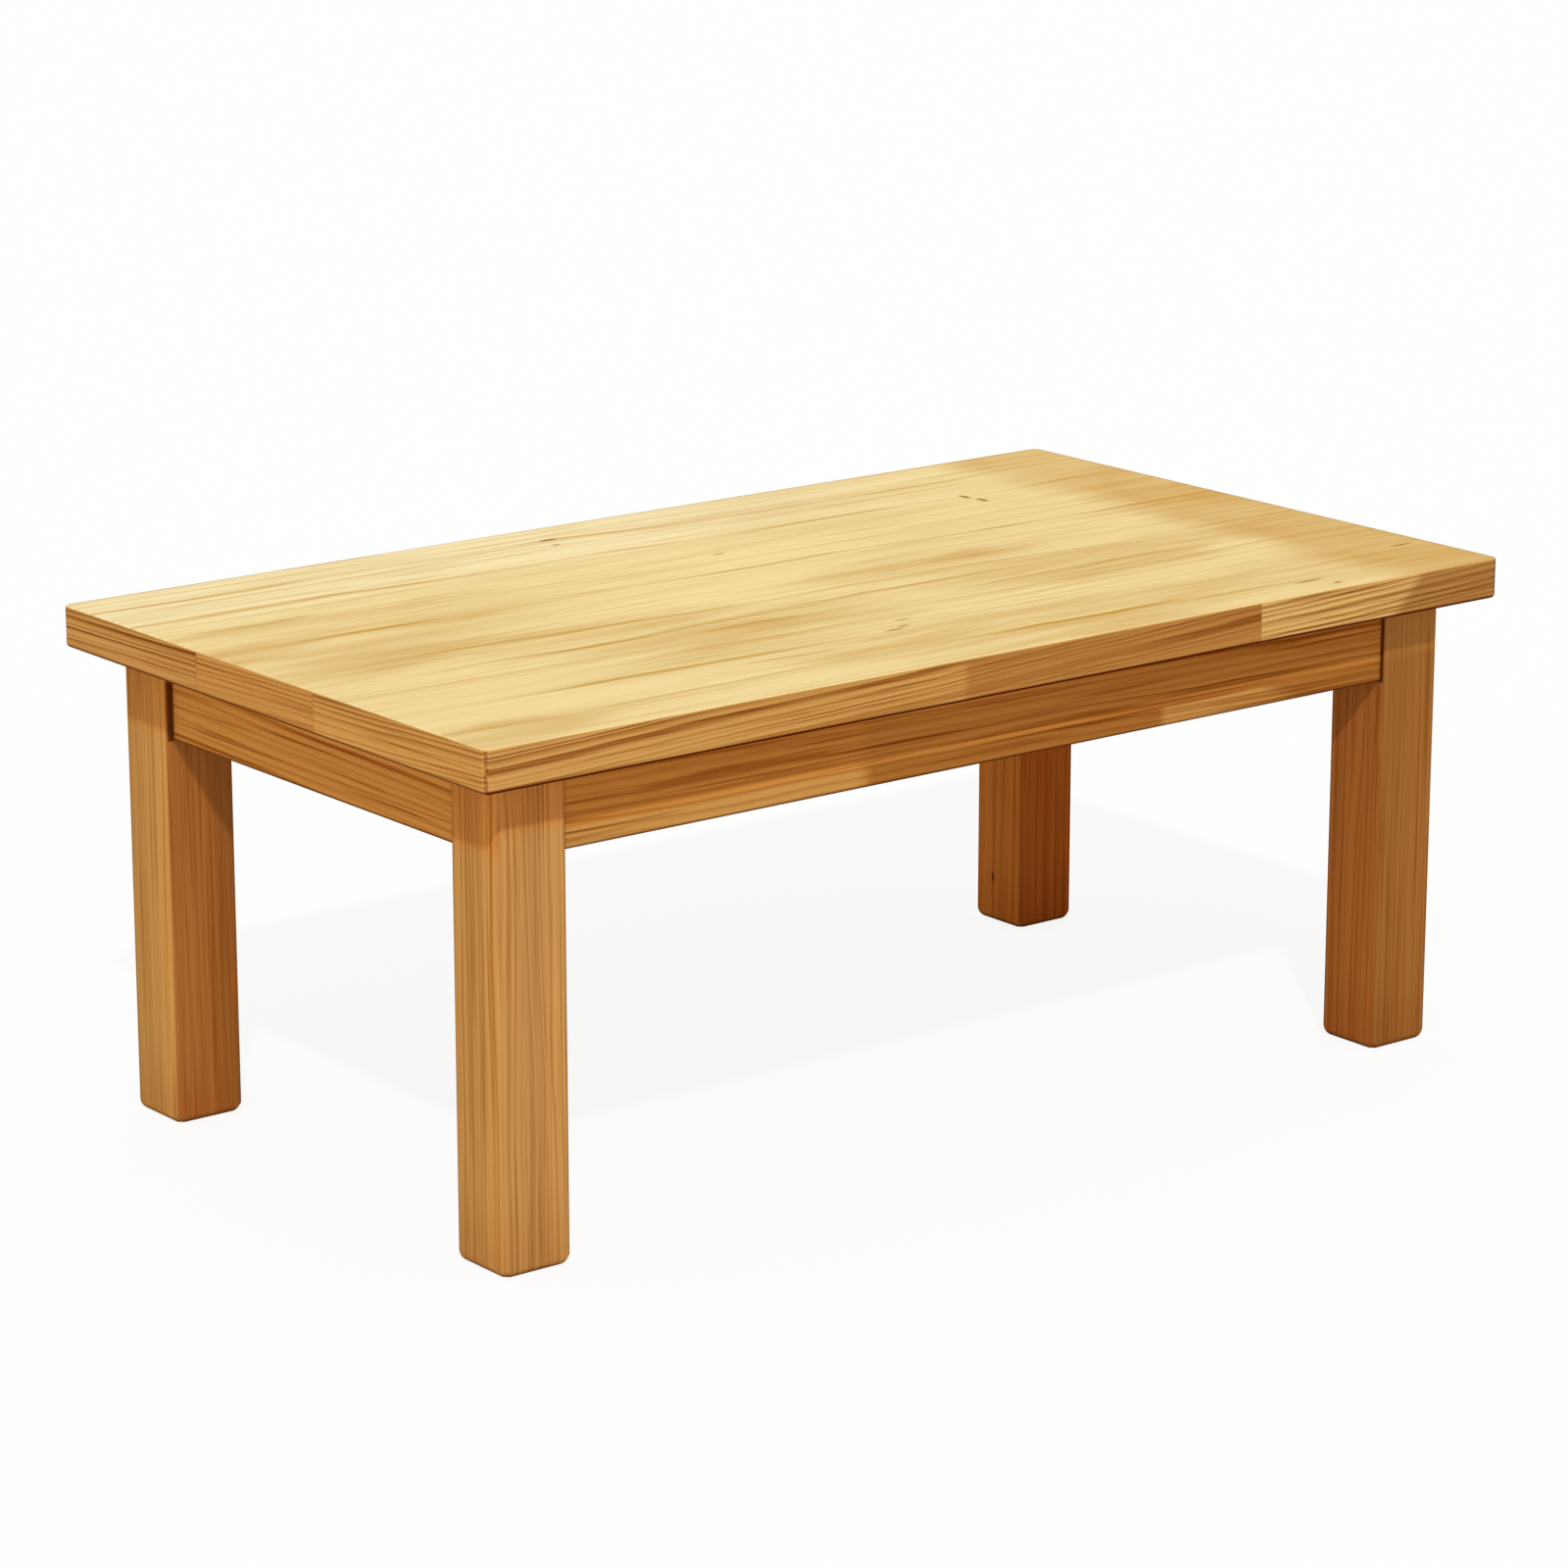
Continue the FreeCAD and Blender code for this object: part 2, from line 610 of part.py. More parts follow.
def long_apron():
    """Apron of the back."""
    low = point(-LEG_IN_X, LONG_APRON_IN, APRON_LOW)
    blank = block(low, point(LEG_IN_X, LONG_APRON_OUT, FRAME_HEIGHT))
    middle_y = LONG_APRON_OUT - APRON_THICKNESS / 2
    blank = soften_apron(blank, lambda box: box.XLength > LEG_IN_X and box.YMin > middle_y)
    return blank.cut(apron_tools())


def short_apron():
    """Apron of the right end."""
    low = point(SHORT_APRON_IN, -LEG_IN_Y, APRON_LOW)
    blank = block(low, point(SHORT_APRON_OUT, LEG_IN_Y, FRAME_HEIGHT))
    middle_x = SHORT_APRON_OUT - APRON_THICKNESS / 2
    blank = soften_apron(blank, lambda box: box.YLength > LEG_IN_Y and box.XMin > middle_x)
    return blank.cut(apron_tools())


# Rails of the heater bay

def long_rail_dowels(radius):
    """Dowels from the ends of the two long rails into the long aprons."""
    rods = []
    for side in (-1, 1):
        start = point(0, side * (LONG_APRON_IN - RAIL_DOWEL_LENGTH / 2), RAIL_MID)
        end = point(0, side * (LONG_APRON_IN + RAIL_DOWEL_LENGTH / 2), RAIL_MID)
        for middle in (-1, 1):
            for offset in (-RAIL_DOWEL_SPREAD, RAIL_DOWEL_SPREAD):
                shift = X_AXIS * (middle * (BAY_HALF + RAIL_WIDTH / 2) + offset)
                rods.append(rod(radius, start + shift, end + shift))
    return rods


def short_rail_dowels(radius):
    """Dowels from the ends of the two short rails into the long rails."""
    rods = []
    for side in (-1, 1):
        start = point(side * (BAY_HALF - RAIL_DOWEL_LENGTH / 2), 0, RAIL_MID)
        end = point(side * (BAY_HALF + RAIL_DOWEL_LENGTH / 2), 0, RAIL_MID)
        for middle in (-1, 1):
            for offset in (-CROSS_RAIL_DOWEL_SPREAD, CROSS_RAIL_DOWEL_SPREAD):
                shift = Y_AXIS * (middle * (BAY_HALF + CROSS_RAIL_WIDTH / 2) + offset)
                rods.append(rod(radius, start + shift, end + shift))
    return rods


def rail_tools():
    dowels = long_rail_dowels(RAIL_DOWEL_RADIUS + FIT) + short_rail_dowels(RAIL_DOWEL_RADIUS + FIT)
    return dowels + mount_screw_bores()


def long_rail():
    """Rail on the right of the bay, from the front apron to the back one."""
    blank = block(point(BAY_HALF, -LONG_APRON_IN, RAIL_LOW), point(RAIL_OUT, LONG_APRON_IN, RAIL_HIGH))
    return blank.cut(rail_tools())


def short_rail():
    """Rail behind the bay, between the two long rails."""
    blank = block(point(-BAY_HALF, BAY_HALF, RAIL_LOW), point(BAY_HALF, CROSS_RAIL_OUT, RAIL_HIGH))
    return blank.cut(rail_tools())


# Heater housing

def mount_screw_seat():
    return point(BAY_HALF + MOUNT_SCREW_LAP, MOUNT_SCREW_SPREAD, FLANGE_LOW)


def mount_screws():
    one = screw(mount_screw_seat(), Z_AXIS, MOUNT_SCREW_RADIUS, MOUNT_SCREW_LENGTH,
                MOUNT_HEAD_RADIUS, MOUNT_HEAD_HEIGHT)
    return four_ways([one])


def mount_screw_bores():
    seat = mount_screw_seat()
    end = seat + Z_AXIS * MOUNT_SCREW_LENGTH
    return four_ways([rod(MOUNT_SCREW_RADIUS + FIT, seat - Z_AXIS * OVERRUN, end)])


def vent_slots():
    """Two rows of slots in the housing's top, one on each side of the motor."""
    slots = []
    for side in (-1, 1):
        for number in range(VENT_COUNT):
            x = (number - (VENT_COUNT - 1) / 2) * VENT_PITCH
            y = side * VENT_ROW_OFFSET
            low = point(x - VENT_WIDTH / 2, y - VENT_LENGTH / 2, HOUSING_CEILING - OVERRUN)
            high = point(x + VENT_WIDTH / 2, y + VENT_LENGTH / 2, HOUSING_HIGH + OVERRUN)
            slots.append(block(low, high))
    return slots


def heater_housing():
    """Pan that stands up into the bay, open below, with a flange round its mouth."""
    pan = rounded_slab(HOUSING_HALF, HOUSING_CORNER_RADIUS, FLANGE_LOW, HOUSING_HIGH)
    flange = rounded_slab(FLANGE_HALF, FLANGE_CORNER_RADIUS, FLANGE_LOW, RAIL_LOW)
    inner_radius = HOUSING_CORNER_RADIUS - HOUSING_SHEET
    hollow = rounded_slab(HOUSING_IN_HALF, inner_radius, FLANGE_LOW - OVERRUN, HOUSING_CEILING)
    cuts = [hollow] + vent_slots() + mount_screw_bores() + guard_screw_bores()
    cuts += motor_screw_bores() + inlet_screw_bores()
    return pan.fuse(flange).cut(cuts).removeSplitter()


# Reflector and tubes

def trough(radius, length):
    """Half round bar over one tube."""
    start = point(TUBE_OFFSET, -length / 2, PLATE_LOW)
    whole = rod(radius, start, start + Y_AXIS * length)
    lid_low = point(TUBE_OFFSET - radius - OVERRUN, -length / 2 - OVERRUN, PLATE_LOW - radius - OVERRUN)
    lid_high = point(TUBE_OFFSET + radius + OVERRUN, length / 2 + OVERRUN, PLATE_LOW)
    return whole.cut(block(lid_low, lid_high))


def both_sides(shape):
    return [shape, mirrored(shape, True, False)]


def heater_reflector():
    """Tray with low walls inside the guard's skirt, a trough over each tube and a hole for the fan."""
    plate = rounded_slab(RIM_HALF, SKIRT_CORNER_RADIUS, PLATE_LOW, FLANGE_LOW)
    tray = rounded_slab(TRAY_HALF, SKIRT_CORNER_RADIUS, TRAY_LOW, FLANGE_LOW)
    inner_radius = SKIRT_CORNER_RADIUS - REFLECTOR_SHEET
    hollow = rounded_slab(TRAY_HALF - REFLECTOR_SHEET, inner_radius, TRAY_LOW - OVERRUN, PLATE_LOW)
    outer_troughs = both_sides(trough(TROUGH_RADIUS + REFLECTOR_SHEET, 2 * TROUGH_END))
    inner_troughs = both_sides(trough(TROUGH_RADIUS, TROUGH_LENGTH))
    fan_hole = rod(FAN_HOLE_RADIUS, point(0, 0, PLATE_LOW - OVERRUN), point(0, 0, FLANGE_LOW + OVERRUN))
    cuts = [hollow, fan_hole] + inner_troughs + wire_holes()
    cuts += guard_screw_bores() + inlet_screw_bores()
    return plate.fuse([tray] + outer_troughs).cut(cuts).removeSplitter()


def quartz_tube():
    start = point(TUBE_OFFSET, -TUBE_LENGTH / 2, TUBE_LEVEL)
    end = point(TUBE_OFFSET, TUBE_LENGTH / 2, TUBE_LEVEL)
    return rod(TUBE_RADIUS, start, end).cut(rod(TUBE_RADIUS - TUBE_WALL, start, end))


def heating_coil():
    """Wound wire inside a tube, as a plain bar of its outer size."""
    start = point(TUBE_OFFSET, -TUBE_LENGTH / 2, TUBE_LEVEL)
    return rod(COIL_RADIUS, start, point(TUBE_OFFSET, TUBE_LENGTH / 2, TUBE_LEVEL))


def tube_cap():
    """Ceramic cap on the back end of the right tube."""
    start = point(TUBE_OFFSET, CAP_START, TUBE_LEVEL)
    whole = rod(CAP_RADIUS, start, point(TUBE_OFFSET, CAP_END, TUBE_LEVEL))
    return whole.cut(rod(TUBE_RADIUS + FIT, start, start + Y_AXIS * CAP_GRIP))


def tube_holder():
    """Angle plate under the reflector that holds one cap."""
    left = TUBE_OFFSET - HOLDER_WIDTH / 2
    right = TUBE_OFFSET + HOLDER_WIDTH / 2
    tab_low = TUBE_LEVEL - CAP_RADIUS - HOLDER_EDGE
    tab = block(point(left, TROUGH_END, tab_low), point(right, TROUGH_END + HOLDER_SHEET, PLATE_LOW))
    foot_low = point(left, TROUGH_END, PLATE_LOW - HOLDER_SHEET)
    foot = block(foot_low, point(right, TROUGH_END + HOLDER_FOOT, PLATE_LOW))
    start = point(TUBE_OFFSET, CAP_START, TUBE_LEVEL)
    hole = rod(CAP_RADIUS + FIT, start, start + Y_AXIS * CAP_LENGTH)
    return tab.fuse(foot).cut(hole).removeSplitter()


# Guard

def guard_screw_seat():
    return point(HOUSING_HALF + GUARD_SCREW_LAP, GUARD_SCREW_SPREAD, LIP_LOW)


def guard_screws():
    one = screw(guard_screw_seat(), Z_AXIS, GUARD_SCREW_RADIUS, GUARD_SCREW_LENGTH,
                GUARD_HEAD_RADIUS, GUARD_HEAD_HEIGHT)
    return four_ways([one])


def guard_screw_bores():
    seat = guard_screw_seat()
    end = seat + Z_AXIS * GUARD_SCREW_LENGTH
    return four_ways([rod(GUARD_SCREW_RADIUS + FIT, seat - Z_AXIS * OVERRUN, end)])


def bent_bar(points, bend_radius, radius):
    """Round bar along straight runs joined by tangent arcs."""
    edges = []
    start = points[0]
    for number in range(1, len(points) - 1):
        corner = points[number]
        before = (corner - points[number - 1]).normalize()
        after = (points[number + 1] - corner).normalize()
        turn = before.getAngle(after)
        reach = bend_radius * math.tan(turn / 2)
        arc_start = corner - before * reach
        arc_end = corner + after * reach
        inward = (after - before).normalize()
        arc_middle = corner + inward * (bend_radius / math.cos(turn / 2) - bend_radius)
        edges.append(Part.LineSegment(start, arc_start).toShape())
        edges.append(Part.Arc(arc_start, arc_middle, arc_end).toShape())
        start = arc_end
    edges.append(Part.LineSegment(start, points[-1]).toShape())
    path = Part.Wire(edges)
    profile = Part.Wire([Part.Circle(points[0], points[1] - points[0], radius).toShape()])
    return path.makePipeShell([profile], True, False)


def basket_wire(along, across, shift, lift):
    """One guard wire from wall to wall, bent down to the flat bottom of the basket."""
    shoulder = SKIRT_IN_HALF - GUARD_SLOPE_RUN
    high = SKIRT_LOW + GUARD_WIRE_INSET + lift
    low = SKIRT_LOW - GUARD_DEPTH + lift
    place = across * shift
    corners = [(-SKIRT_HALF, high), (-shoulder, low), (shoulder, low), (SKIRT_HALF, high)]
    points = [place + along * run + Z_AXIS * level for run, level in corners]
    wire = bent_bar(points, GUARD_BEND_RADIUS, GUARD_WIRE_RADIUS)
    return wire.common(slab(SKIRT_IN_HALF, SKIRT_IN_HALF, SKIRT_LOW - 2 * GUARD_DEPTH, PLATE_LOW))


def guard_wires():
    """Close wires from front to back, and a few ties that lie across them on the inside."""
    wires = []
    half = SKIRT_IN_HALF - GUARD_SIDE_INSET
    for number in range(GUARD_WIRE_COUNT):
        shift = -half + number * 2 * half / (GUARD_WIRE_COUNT - 1)
        wires.append(basket_wire(Y_AXIS, X_AXIS, shift, 0))
    lift = 2 * GUARD_WIRE_RADIUS
    tie_half = half - GUARD_SLOPE_RUN
    for number in range(GUARD_TIE_COUNT):
        shift = -tie_half + number * 2 * tie_half / (GUARD_TIE_COUNT - 1)
        wires.append(basket_wire(X_AXIS, Y_AXIS, shift, lift))
    return wires


def guard_skirt():
    lip = rounded_slab(RIM_HALF, SKIRT_CORNER_RADIUS, LIP_LOW, PLATE_LOW)
    skirt = rounded_slab(SKIRT_HALF, SKIRT_CORNER_RADIUS, SKIRT_LOW, PLATE_LOW)
    inner_radius = SKIRT_CORNER_RADIUS - SKIRT_SHEET
    hollow = rounded_slab(SKIRT_IN_HALF, inner_radius, SKIRT_LOW - OVERRUN, PLATE_LOW + OVERRUN)
    cuts = [hollow] + guard_screw_bores() + inlet_screw_bores() + wire_holes()
    return lip.fuse(skirt).cut(cuts).removeSplitter()


# Fan and motor

def upright_rod(radius, low, high):
    """Cylinder on the fan's axis."""
    return rod(radius, point(0, 0, low), point(0, 0, high))


def motor_can():
    """Cup that hangs under the housing's top, with a blind bush for the shaft's upper end."""
    can = upright_rod(MOTOR_RADIUS, MOTOR_LOW, HOUSING_CEILING)
    roof = HOUSING_CEILING - MOTOR_WALL
    can = can.cut(upright_rod(MOTOR_RADIUS - MOTOR_WALL, MOTOR_LOW - OVERRUN, roof))
    bush = upright_rod(BUSH_RADIUS, roof - SHAFT_TOP_INSET - BUSH_DEPTH, HOUSING_CEILING)
    bore = upright_rod(SHAFT_RADIUS + RUNNING_FIT, MOTOR_LOW, SHAFT_HIGH + RUNNING_FIT)
    return can.fuse(bush).cut([bore] + motor_screw_bores()).removeSplitter()


def motor_cap():
    """Disc that closes the cup below, with the lower bush in its middle."""
    disc = upright_rod(MOTOR_RADIUS - MOTOR_WALL, MOTOR_LOW, MOTOR_LOW + MOTOR_CAP_THICKNESS)
    bush = upright_rod(BUSH_RADIUS, MOTOR_LOW, MOTOR_LOW + MOTOR_CAP_THICKNESS + BUSH_DEPTH)
    bore = upright_rod(SHAFT_RADIUS + RUNNING_FIT, MOTOR_LOW - OVERRUN, HOUSING_CEILING)
    return disc.fuse(bush).cut(bore).removeSplitter()


def motor_stator():
    high = HOUSING_CEILING - MOTOR_WALL - STATOR_TOP_INSET
    ring = upright_rod(MOTOR_RADIUS - MOTOR_WALL, high - STATOR_HEIGHT, high)
    return ring.cut(upright_rod(STATOR_BORE_RADIUS, MOTOR_LOW, HOUSING_CEILING))


def fan_rotor():
    middle = HOUSING_CEILING - MOTOR_WALL - STATOR_TOP_INSET - STATOR_HEIGHT / 2
    drum = upright_rod(STATOR_BORE_RADIUS - ROTOR_GAP, middle - ROTOR_HEIGHT / 2, middle + ROTOR_HEIGHT / 2)
    return drum.cut(upright_rod(SHAFT_RADIUS, MOTOR_LOW, HOUSING_CEILING))


def fan_shaft():
    return upright_rod(SHAFT_RADIUS, FAN_LOW, SHAFT_HIGH)


def fan_blade(number):
    """Flat pitched blade, rooted inside the hub."""
    root = (FAN_HUB_RADIUS + SHAFT_RADIUS) / 2
    half_chord = FAN_BLADE_CHORD / 2
    half_thick = FAN_BLADE_THICKNESS / 2
    tip = FAN_RADIUS + OVERRUN
    blade = block(point(root, -half_chord, -half_thick), point(tip, half_chord, half_thick))
    blade.rotate(ORIGIN, X_AXIS, FAN_BLADE_PITCH_DEGREES)
    blade.translate(Z_AXIS * ((FAN_LOW + FAN_HIGH) / 2))
    blade.rotate(ORIGIN, Z_AXIS, FULL_TURN_DEGREES * number / FAN_BLADE_COUNT)
    return blade


def fan_impeller():
    blades = [fan_blade(number) for number in range(FAN_BLADE_COUNT)]
    rotor = blades[0].fuse(blades[1:]).common(upright_rod(FAN_RADIUS, FAN_LOW, FAN_HIGH))
    hub = upright_rod(FAN_HUB_RADIUS, FAN_LOW, FAN_HIGH)
    bore = upright_rod(SHAFT_RADIUS, FAN_LOW - OVERRUN, FAN_HIGH + OVERRUN)
    return hub.fuse(rotor).cut(bore).removeSplitter()


def motor_screw_seats():
    return [point(side * MOTOR_SCREW_OFFSET, 0, HOUSING_HIGH) for side in (-1, 1)]


def motor_screws():
    return [screw(seat, Z_AXIS * -1, MOTOR_SCREW_RADIUS, MOTOR_SCREW_LENGTH,
                  MOTOR_HEAD_RADIUS, MOTOR_HEAD_HEIGHT) for seat in motor_screw_seats()]


def motor_screw_bores():
    radius = MOTOR_SCREW_RADIUS + FIT
    return [rod(radius, seat + Z_AXIS * OVERRUN, seat - Z_AXIS * MOTOR_SCREW_LENGTH)
            for seat in motor_screw_seats()]


# Thermostat and fuse

def thermostat():
    """Terminal block on a round sensor that stands on the reflector."""
    half_length = THERMOSTAT_LENGTH / 2
    base_low = point(-half_length, THERMOSTAT_Y - THERMOSTAT_WIDTH / 2, SENSOR_HIGH)
    base = block(base_low, point(half_length, THERMOSTAT_BACK, SENSOR_HIGH + THERMOSTAT_HEIGHT))
    sensor = rod(SENSOR_RADIUS, point(0, THERMOSTAT_Y, FLANGE_LOW), point(0, THERMOSTAT_Y, SENSOR_HIGH))
    return base.fuse(sensor).removeSplitter()


def fuse_body():
    """Small thermal fuse on its post, in line with the wire that it breaks."""
    start = point(FUSE_OFFSET, -RISER_Y, WIRE_LEVEL)
    can = rod(FUSE_RADIUS, start, start + X_AXIS * FUSE_LENGTH)
    half = FUSE_POST_WIDTH / 2
    middle = FUSE_OFFSET + FUSE_LENGTH / 2
    post_low = point(middle - half, -RISER_Y - half, FLANGE_LOW)
    post = block(post_low, point(middle + half, -RISER_Y + half, WIRE_LEVEL))
    return can.fuse(post).removeSplitter()


# Power inlet

def inlet_screw_places():
    x = INLET_NEAR - INLET_SCREW_SETBACK
    return [point(x, -INLET_OFFSET + side * INLET_SCREW_SPREAD, INLET_LOW) for side in (-1, 1)]


def inlet_screw_length():
    return RAIL_LOW - INLET_LOW + INLET_SCREW_OVERLAP


def inlet_screws():
    return [screw(seat, Z_AXIS, INLET_SCREW_RADIUS, inlet_screw_length(),
                  INLET_HEAD_RADIUS, INLET_HEAD_HEIGHT) for seat in inlet_screw_places()]


def inlet_screw_bores():
    radius = INLET_SCREW_RADIUS + FIT
    return [rod(radius, seat - Z_AXIS * OVERRUN, seat + Z_AXIS * inlet_screw_length())
            for seat in inlet_screw_places()]


def inlet_pins():
    """Two round contacts that stand in the recess."""
    pins = []
    for side in (-1, 1):
        start = point(RECESS_FLOOR + PIN_ROOT, -INLET_OFFSET + side * PIN_SPREAD, INLET_MID)
        pins.append(rod(PIN_RADIUS, start, start - X_AXIS * (PIN_ROOT + PIN_LENGTH)))
    return pins


def power_inlet():
    """Moulded block with a recess that opens towards the left end of the table."""
    body_low = point(INLET_FAR, -INLET_OFFSET - INLET_WIDTH / 2, INLET_LOW)
    body = block(body_low, point(INLET_NEAR, -INLET_OFFSET + INLET_WIDTH / 2, LIP_LOW))
    body = round_uprights(body, INLET_EDGE_RADIUS)
    half_width = RECESS_WIDTH / 2
    half_height = RECESS_HEIGHT / 2
    recess_low = point(INLET_FAR - OVERRUN, -INLET_OFFSET - half_width, INLET_MID - half_height)
    recess = block(recess_low, point(RECESS_FLOOR, -INLET_OFFSET + half_width, INLET_MID + half_height))
    roots = []
    for side in (-1, 1):
        start = point(RECESS_FLOOR + PIN_ROOT, -INLET_OFFSET + side * PIN_SPREAD, INLET_MID)
        roots.append(rod(PIN_RADIUS + FIT, start, start - X_AXIS * (PIN_ROOT + OVERRUN)))
    return body.cut([recess] + roots + inlet_screw_bores())


# Wiring

def wire_holes():
    """Holes for the wires that pass through the reflector, or through the guard's lip at the inlet."""
    places = [(side_x * TUBE_OFFSET, side_y * RISER_Y) for side_x in (-1, 1) for side_y in (-1, 1)]
    places += [(INLET_RISER_X, -INLET_OFFSET + side * WIRE_LANE) for side in (-1, 1)]
    low = LIP_LOW - OVERRUN
    high = FLANGE_LOW + OVERRUN
    return [rod(WIRE_HOLE_RADIUS, point(x, y, low), point(x, y, high)) for x, y in places]


def cap_lead(side_x, side_y):
    """Corners of a lead from a tube's cap out, and up through the reflector."""
    x = side_x * TUBE_OFFSET
    return [point(x, side_y * CAP_END, TUBE_LEVEL), point(x, side_y * RISER_Y, TUBE_LEVEL),
            point(x, side_y * RISER_Y, WIRE_LEVEL)]


def inlet_lead(lane):
    """Corners of a lead that rises from the inlet into the housing."""
    y = -INLET_OFFSET + lane * WIRE_LANE
    return [point(INLET_RISER_X, y, LIP_LOW), point(INLET_RISER_X, y, WIRE_LEVEL)]


def wire_routes():
    face = THERMOSTAT_LENGTH / 2
    live_y = THERMOSTAT_BACK - WIRE_LANE
    live_turn = point(INLET_RISER_X + WIRE_TURN_RUN + WIRE_LANE, live_y, WIRE_LEVEL)
    return_turn = point(INLET_RISER_X + WIRE_TURN_RUN, -RISER_Y, WIRE_LEVEL)
    link = cap_lead(1, 1) + cap_lead(-1, 1)[::-1]
    fuse_in = cap_lead(1, -1) + [point(FUSE_OFFSET + FUSE_LENGTH, -RISER_Y, WIRE_LEVEL)]
    fuse_out = [point(FUSE_OFFSET, -RISER_Y, WIRE_LEVEL), point(face, -RISER_Y, WIRE_LEVEL)]
    live = [point(-face, live_y, WIRE_LEVEL), live_turn] + inlet_lead(1)[::-1]
    neutral = inlet_lead(-1) + [return_turn] + cap_lead(-1, -1)[::-1]
    routes = [link, fuse_in, fuse_out, live, neutral]
    for side in (-1, 1):
        x = side * WIRE_LANE
        start = -math.sqrt(MOTOR_RADIUS ** 2 - (WIRE_LANE + WIRE_RADIUS) ** 2) - MOTOR_WALL / 2
        routes.append([point(x, start, WIRE_LEVEL), point(x, THERMOSTAT_BACK, WIRE_LEVEL)])
    return routes


def heater_wires():
    return [bent_bar(route, WIRE_BEND, WIRE_RADIUS) for route in wire_routes()]


# All sub-parts

def save_tabletop():
    blank = panel_blank()
    ring = edge_band_ring(blank)
    front = long_edge_band(ring)
    left = short_edge_band(ring)
    upper_high = TOP_HIGH - VENEER_THICKNESS
    save("tabletop_face_veneer", [face_veneer(blank)])
    save("tabletop_upper_board", [slab(CORE_HALF_X, CORE_HALF_Y, CORE_HIGH, upper_high)])
    save("tabletop_lower_board", [slab(CORE_HALF_X, CORE_HALF_Y, TOP_LOW, CORE_LOW)])
    save("tabletop_core_stiles", core_stiles())
    save("tabletop_core_ribs", core_ribs())
    save("tabletop_core_filling", core_fillings())
    save("edge_band_front", [front])
    save("edge_band_back", [mirrored(front, False, True)])
    save("edge_band_left", [left])
    save("edge_band_right", [mirrored(left, True, False)])


def save_frame():
    corner = leg()
    save("leg_back_right", [corner])
    save("leg_back_left", [mirrored(corner, True, False)])
    save("leg_front_right", [mirrored(corner, False, True)])
    save("leg_front_left", [mirrored(corner, True, True)])
    back = long_apron()
    right = short_apron()
    save("apron_back", [back])
    save("apron_front", [mirrored(back, False, True)])
    save("apron_right", [right])
    save("apron_left", [mirrored(right, True, False)])
    save("grip_pads", four_ways([grip_pad()]))
    save("apron_dowels", four_ways(apron_dowels(DOWEL_RADIUS)))
    save("corner_brackets", four_ways([corner_bracket()]))
    save("bracket_screws", four_ways(bracket_screws()))
    save("hanger_bolts", four_ways([hanger_bolt(HANGER_RADIUS)]))
    save("bolt_washers", four_ways([washer()]))
    save("wing_nuts", four_ways([wing_nut()]))
    rail = long_rail()
    cross = short_rail()
    save("heater_rail_right", [rail])
    save("heater_rail_left", [mirrored(rail, True, False)])
    save("heater_rail_back", [cross])
    save("heater_rail_front", [mirrored(cross, False, True)])
    save("rail_dowels", long_rail_dowels(RAIL_DOWEL_RADIUS) + short_rail_dowels(RAIL_DOWEL_RADIUS))


def save_heater():
    save("heater_housing", [heater_housing()])
    save("heater_mount_screws", mount_screws())
    save("heater_reflector", [heater_reflector()])
    save("quartz_tubes", both_sides(quartz_tube()))
    save("heating_coils", both_sides(heating_coil()))
    save("tube_end_caps", four_ways([tube_cap()]))
    save("tube_holders", four_ways([tube_holder()]))
    save("guard_skirt", [guard_skirt()])
    save("guard_wires", guard_wires())
    save("guard_screws", guard_screws())
    save("thermostat", [thermostat()])
    save("thermal_fuse", [fuse_body()])
    save("power_inlet", [power_inlet()])
    save("inlet_pins", inlet_pins())
    save("inlet_screws", inlet_screws())
    save("heater_wires", heater_wires())


def save_fan():
    save("fan_motor_can", [motor_can()])
    save("fan_motor_cap", [motor_cap()])
    save("fan_motor_stator", [motor_stator()])
    save("fan_motor_screws", motor_screws())
    save("fan_rotor", [fan_rotor()])
    save("fan_shaft", [fan_shaft()])
    save("fan_impeller", [fan_impeller()])


def main():
    os.makedirs("parts", exist_ok=True)
    save_tabletop()
    save_frame()
    save_heater()
    save_fan()


main()
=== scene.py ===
import math

import bmesh
import bpy
import numpy
from bpy.props import FloatProperty, FloatVectorProperty, IntProperty, PointerProperty
from mathutils import Matrix, Vector


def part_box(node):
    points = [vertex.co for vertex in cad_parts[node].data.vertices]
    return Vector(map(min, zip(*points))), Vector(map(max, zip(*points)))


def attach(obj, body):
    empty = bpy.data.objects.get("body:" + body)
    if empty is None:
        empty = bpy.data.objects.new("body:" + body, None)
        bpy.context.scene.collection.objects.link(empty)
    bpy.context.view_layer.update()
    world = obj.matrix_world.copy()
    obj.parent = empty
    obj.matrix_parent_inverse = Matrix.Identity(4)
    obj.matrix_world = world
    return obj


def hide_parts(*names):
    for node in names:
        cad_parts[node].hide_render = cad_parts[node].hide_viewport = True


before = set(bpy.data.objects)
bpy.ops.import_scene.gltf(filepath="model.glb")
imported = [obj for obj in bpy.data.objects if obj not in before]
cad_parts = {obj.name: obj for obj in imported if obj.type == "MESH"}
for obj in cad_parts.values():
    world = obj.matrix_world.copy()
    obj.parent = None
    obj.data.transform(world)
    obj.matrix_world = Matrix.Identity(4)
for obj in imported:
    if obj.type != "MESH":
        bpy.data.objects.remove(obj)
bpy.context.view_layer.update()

bl_info = {
    "name": "Kotatsu Table",
    "version": (1, 0, 0),
    "blender": (4, 5, 0),
    "location": "View3D > Sidebar > Kotatsu",
    "description": "Woods, metals and small turned parts of a kotatsu table with a fan heater",
    "category": "Object",
}

TOP_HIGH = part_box("tabletop_face_veneer")[1]


